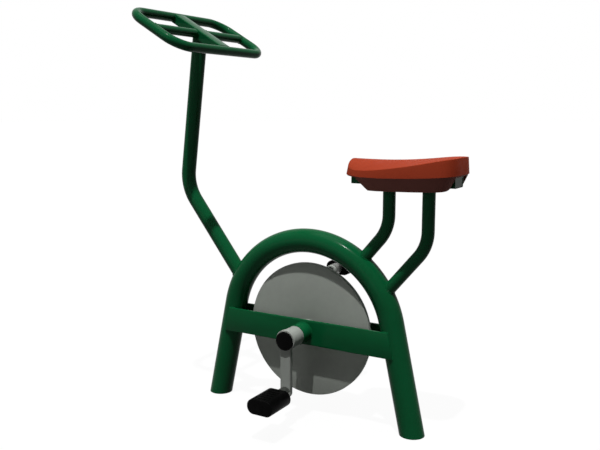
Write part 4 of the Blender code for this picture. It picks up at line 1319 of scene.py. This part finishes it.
    def build_shell(self) -> None:
        """The orange shell: side wall, rounded shoulder, arched top, and the wall's inner face."""
        rows = [Row(self.on_top, keep, self.wall, self.wall) for keep in (*reversed(self.keeps), 1.0)]
        rows += [Row(self.on_rim, 1.0, self.wall, 0.0), Row(self.on_rim, 1.0, 0.0, 0.0)]
        shoulder = len(rows)
        rows += [Row(self.on_top, keep, 0.0, 0.0) for keep in (1.0, *self.keeps)]
        bm = self.mould(rows, slice(shoulder, shoulder + 1), self.crease_edge)
        settle(bm, "seat_shell", Body.FRAME, ORANGE_SHELL, "seat_cover")

    def build_tray(self) -> None:
        """The dark tray: a sheet under the shell, and a skirt along each side that leans inwards."""
        rows = [Row(self.on_sheet, 1.0, self.tray_step + self.tray_draft, -self.tray_sheet),
                Row(self.on_rim, 1.0, self.tray_step, GAP), Row(self.on_rim, 1.0, self.tray_inset, GAP),
                Row(self.on_skirt, 1.0, 0.0, self.skirt_depth),
                Row(self.on_skirt, 1.0, self.skirt_wall, self.skirt_depth),
                Row(self.on_skirt, 1.0, self.skirt_wall + self.tray_draft, 0.0)]
        bm = self.mould(rows, slice(3, 5), self.skirt_edge)
        settle(bm, "seat_tray", Body.FRAME, MAROON_TRAY, "seat_base")

    def build(self) -> None:
        """Builds the shell and the tray."""
        self.build_shell()
        self.build_tray()


# ---- Crankset and pedals


@dataclass
class Crankset:
    """Disc, bosses, arms and caps that turn with the axle."""

    disc: float = 0.432
    disc_thickness: float = 0.015
    bore: float = 0.0253
    boss: float = 0.062
    boss_inner: float = 0.089
    edge: float = 0.0012
    arm_inner: float = 0.136
    arm_thickness: float = 0.014
    arm_width: float = 0.036
    arm_head: float = 0.066
    arm_edge: float = 0.0015
    eye_radius: float = 0.01215
    bolt_seat_radius: float = 0.0141
    bolt_seat_depth: float = 0.0061
    cap: float = 0.058
    cap_thickness: float = 0.009
    cap_rise: float = 0.001
    cap_edge: float = 0.0022

    def build(self) -> None:
        """Builds the disc and both cranks, and dresses the CAD nodes that stay."""
        half = self.disc_thickness / 2
        disc = turned(drum(self.disc / 2, -half, half, self.bore / 2), Side.NEAR, 144)
        settle(round_edges(disc, self.edge), "flywheel_disc", Body.CRANKSET, ZINC_DISC, "disc")
        bright = ("axle_spacer", "bearing_inner_race", "bearing_outer_race", "crank_bolt", "pedal_spindle",
                  "pedal_nut")
        for side in Side:
            self.build_crank(side)
            dress_nodes(ZINC_CRANK, f"disc_flange_{side.word}")
            dress_nodes(BRIGHT_STEEL, *(f"{name}_{side.word}" for name in bright))
            dress_nodes(BLACK_RUBBER, f"dust_seal_{side.word}")
        dress_nodes(BRIGHT_STEEL, "crank_axle", *(f"disc_bolt_{n}" for n in range(1, 5)))

    def arm_shape(self) -> BMesh:
        """Outline of an arm hanging down, as one face in the plane Y = 0.

        Returns:
            The outline.
        """
        head, half = self.arm_head / 2, self.arm_width / 2
        eye = AXLE - ALONG_Z * CRANK_LENGTH
        bm = bmesh.new()
        starts, ends = [], []
        for spot, centre, turn, steps in (
                (AXLE + Vector((half, 0.0, -math.sqrt(head * head - half * half))), AXLE,
                 FULL_TURN - 2 * math.asin(half / head), 40),
                (eye - ALONG_X * half, eye, math.pi, 24)):
            starts.append(bm.verts.new(spot))
            arc = bmesh.ops.spin(bm, geom=[starts[-1]], cent=centre, axis=ALONG_Y, dvec=ORIGIN, angle=-turn,
                                 steps=steps, use_merge=False)
            ends += only(BMVert, arc["geom_last"])
        bm.edges.new((ends[0], starts[1]))
        bm.edges.new((ends[1], starts[0]))
        bmesh.ops.contextual_create(bm, geom=bm.edges[:])
        return bm

    def arm_solid(self, side: Side) -> BMesh:
        """An arm in place, with round edges and no holes yet.

        Args:
            side: Side of the bike.

        Returns:
            The shape.
        """
        bm = self.arm_shape()
        moved = only(BMVert, bmesh.ops.extrude_face_region(bm, geom=bm.faces[:])["geom"])
        bmesh.ops.translate(bm, verts=moved, vec=ALONG_Y * self.arm_thickness)
        low = side.value * (self.arm_inner + (0.0 if side is Side.FAR else self.arm_thickness))
        bmesh.ops.translate(bm, verts=bm.verts, vec=ALONG_Y * low)
        if side is Side.FAR:
            bmesh.ops.rotate(bm, verts=bm.verts, cent=AXLE, matrix=Matrix.Rotation(math.pi, 3, "Y"))
        return round_edges(bm, self.arm_edge, least=math.radians(60))

    def build_crank(self, side: Side) -> None:
        """Boss, arm and cap of one side.

        Args:
            side: Side of the bike.
        """
        bore, inner, face = self.bore / 2, self.boss_inner, self.arm_inner + self.arm_thickness
        boss = turned(drum(self.boss / 2, inner, self.arm_inner - GAP, bore), side)
        settle(round_edges(boss, self.edge), f"crank_hub_{side.word}", Body.CRANKSET, ZINC_CRANK,
               f"crank_boss_{side.word}")
        seat, floor = self.bolt_seat_radius, face - self.bolt_seat_depth
        shaft = [(0.0, inner), (bore, inner), (bore, floor), (seat, floor), (seat, 2 * face), (0.0, 2 * face)]
        eye = turned(drum(self.eye_radius, inner, 2 * face), side, 40, side.pedal_centre)
        settle(carve(self.arm_solid(side), eye, turned(shaft, side, 40)), f"crank_lever_{side.word}",
               Body.CRANKSET, ZINC_CRANK, f"crank_arm_{side.word}")
        low, top = face + GAP, face + GAP + self.cap_thickness
        dome = [(0.0, low), (self.cap / 2, low), (self.cap / 2, top - self.cap_rise), (0.0, top)]
        settle(round_edges(turned(dome, side), self.cap_edge, 4), f"hub_cap_{side.word}", Body.CRANKSET,
               BLACK_NYLON, f"crank_cap_{side.word}")


@dataclass
class Pedals:
    """The moulded pedal blocks."""

    inner: float = 0.1885
    length: float = 0.1055
    width: float = 0.088
    thickness: float = 0.047
    corner: float = 0.022
    end_edge: float = 0.002
    spindle: float = 0.014
    pocket: float = 0.028
    pocket_depth: float = 0.014
    cap_thickness: float = 0.004
    cap_edge: float = 0.0008
    groove: float = 0.0035
    groove_depth: float = 0.0012
    grooves: int = 6

    def build(self) -> None:
        """Builds both pedals."""
        for side in Side:
            self.build_pedal(side)

    def build_pedal(self, side: Side) -> None:
        """One block with grip grooves across its flats, and its end cap.

        Args:
            side: Side of the bike.
        """
        centre, outer = side.pedal_centre, self.inner + self.length
        half, flat = self.width / 2, self.thickness / 2
        faces = sorted((side.value * self.inner, side.value * outer))
        bm = block((centre.x - half, faces[0], centre.z - flat), (centre.x + half, faces[1], centre.z + flat))
        bevel_long(bm, ALONG_Y, self.corner, self.corner, 12)
        round_edges(bm, self.end_edge, least=math.radians(60))
        bore, pocket, floor = self.spindle / 2 + GAP, self.pocket / 2 + GAP, outer - self.pocket_depth
        profile = [(0.0, 0.0), (bore, 0.0), (bore, floor), (pocket, floor), (pocket, 2 * outer),
                   (0.0, 2 * outer)]
        tools = [turned(profile, side, 40, centre)]
        reach, wide, deep = half - self.corner, self.groove / 2, self.groove_depth
        for i in range(self.grooves):
            y = side.value * (self.inner + self.length * (i + 1) / (self.grooves + 1))
            for z in (centre.z - flat, centre.z + flat):
                tools.append(block((centre.x - reach, y - wide, z - deep),
                                   (centre.x + reach, y + wide, z + deep)))
        settle(carve(bm, *tools), f"pedal_block_{side.word}", side.pedal_body, BLACK_NYLON,
               f"pedal_{side.word}")
        plug = turned(drum(self.pocket / 2, outer - self.cap_thickness, outer), side, 48, centre)
        settle(round_edges(plug, self.cap_edge), f"pedal_plug_{side.word}", side.pedal_body, BLACK_NYLON,
               f"pedal_cap_{side.word}")


# ---- Studio


@dataclass(frozen=True)
class Lamp:
    """A far lamp: its direction from the bike, its strength, and its angular size, which softens shadows."""

    name: str
    towards: Triple
    strength: float
    degrees: float

    def hang(self) -> None:
        """Puts the lamp in the scene."""
        lamp = bpy.data.lights.new(self.name, "SUN")
        lamp.energy, lamp.angle = self.strength, math.radians(self.degrees)
        link(self.name, lamp).rotation_euler = Vector(self.towards).to_track_quat("Z", "Y").to_euler()


@dataclass
class Studio:
    """Floor, lamps and the camera at the photograph's place."""

    camera_place: Triple = (1.18760, -2.01866, 0.97265)
    camera_pitch: float = math.radians(81.2611)
    camera_heading: float = math.radians(30.8128)
    lens: float = 44.974
    sensor: float = 36.0
    floor_radius: float = 60.0
    floor_drop: float = 0.0005
    lamps: tuple[Lamp, ...] = (Lamp("key_lamp", (0.08, -0.293, 0.953), 2.5, 1.2),
                               Lamp("top_softbox", (0.0, -0.05, 1.0), 1.2, 50.0),
                               Lamp("side_lamp", (-0.305, -0.952, 0.02), 0.46, 50.0))
    ambient: float = 0.012
    floor_glow: float = 0.95
    floor_paint: str = "404040"

    def build(self) -> None:
        """Builds everything round the bike."""
        self.build_floor()
        self.build_world()
        for lamp in self.lamps:
            lamp.hang()
        self.build_camera()

    def build_floor(self) -> None:
        """A round floor, pale to the camera, that keeps the bike's shadow and meets the white background."""
        bm = bmesh.new()
        bmesh.ops.create_circle(bm, cap_ends=True, segments=64, radius=self.floor_radius,
                                matrix=Matrix.Translation((0.0, 0.0, -self.floor_drop)))
        floor = link("floor", to_mesh(bm, "floor"))
        bm.free()
        made = bpy.data.materials.new("pale_matt_floor")
        made.use_nodes = True
        tree = made.node_tree
        tree.nodes.clear()
        glow = add_node(tree, "ShaderNodeEmission", {"Color": linear("FFFFFF"), "Strength": self.seen(tree)})
        paint = add_node(tree, "ShaderNodeBsdfDiffuse", {"Color": linear(self.floor_paint)})
        both = add_node(tree, "ShaderNodeAddShader", {0: glow.outputs[0], 1: paint.outputs[0]})
        add_node(tree, "ShaderNodeOutputMaterial", {"Surface": both.outputs[0]})
        floor.data.materials.append(made)

    def seen(self, tree: NodeTree) -> NodeSocket:
        """Adds nodes for the floor's glow to the camera, in mirrors and through glass, and 0 elsewhere.

        Args:
            tree: Tree that gets the nodes.

        Returns:
            The glow.
        """
        path = add_node(tree, "ShaderNodeLightPath").outputs
        level = path["Is Camera Ray"]
        for other, operation in ((path["Is Glossy Ray"], "MAXIMUM"), (path["Is Transmission Ray"], "MAXIMUM"),
                                 (self.floor_glow, "MULTIPLY")):
            level = add_node(tree, "ShaderNodeMath", {0: level, 1: other}, operation=operation).outputs[0]
        return level

    def build_world(self) -> None:
        """White to the camera and in mirrors, and a low even light on the bike."""
        world = bpy.data.worlds.new("studio_world")
        bpy.context.scene.world = world
        world.use_nodes = True
        tree = world.node_tree
        tree.nodes.clear()
        level = add_node(tree, "ShaderNodeMapRange", {"Value": self.seen(tree), "From Max": self.floor_glow,
                                                      "To Min": self.ambient, "To Max": 1.0})
        values = {"Color": linear("FFFFFF"), "Strength": level.outputs["Result"]}
        glow = add_node(tree, "ShaderNodeBackground", values)
        add_node(tree, "ShaderNodeOutputWorld", {"Surface": glow.outputs[0]})

    def build_camera(self) -> None:
        """The camera at the place that was fitted to the photograph."""
        lens = bpy.data.cameras.new("camera")
        lens.lens, lens.sensor_width = self.lens, self.sensor
        made = link("camera", lens)
        made.location = self.camera_place
        made.rotation_euler = (self.camera_pitch, 0.0, self.camera_heading)
        bpy.context.scene.camera = made


def clear_startup() -> None:
    """Removes whatever the startup file holds besides the frame."""
    kept = set(frame["nodes"].values()) | set(frame["bodies"].values())
    for old in [o for o in bpy.data.objects if o not in kept]:
        bpy.data.objects.remove(old, do_unlink=True)


def main() -> None:
    """Builds the bike and the studio."""
    logging.basicConfig(level=logging.INFO, format="%(message)s")
    clear_startup()
    arch = Arch()
    for part in (arch, Handlebar(arch), SeatFrame(arch), Seat(), Crankset(), Pedals(), Studio()):
        part.build()
    bpy.context.scene.view_settings.view_transform = "Standard"


if __name__ == "__main__":
    main()
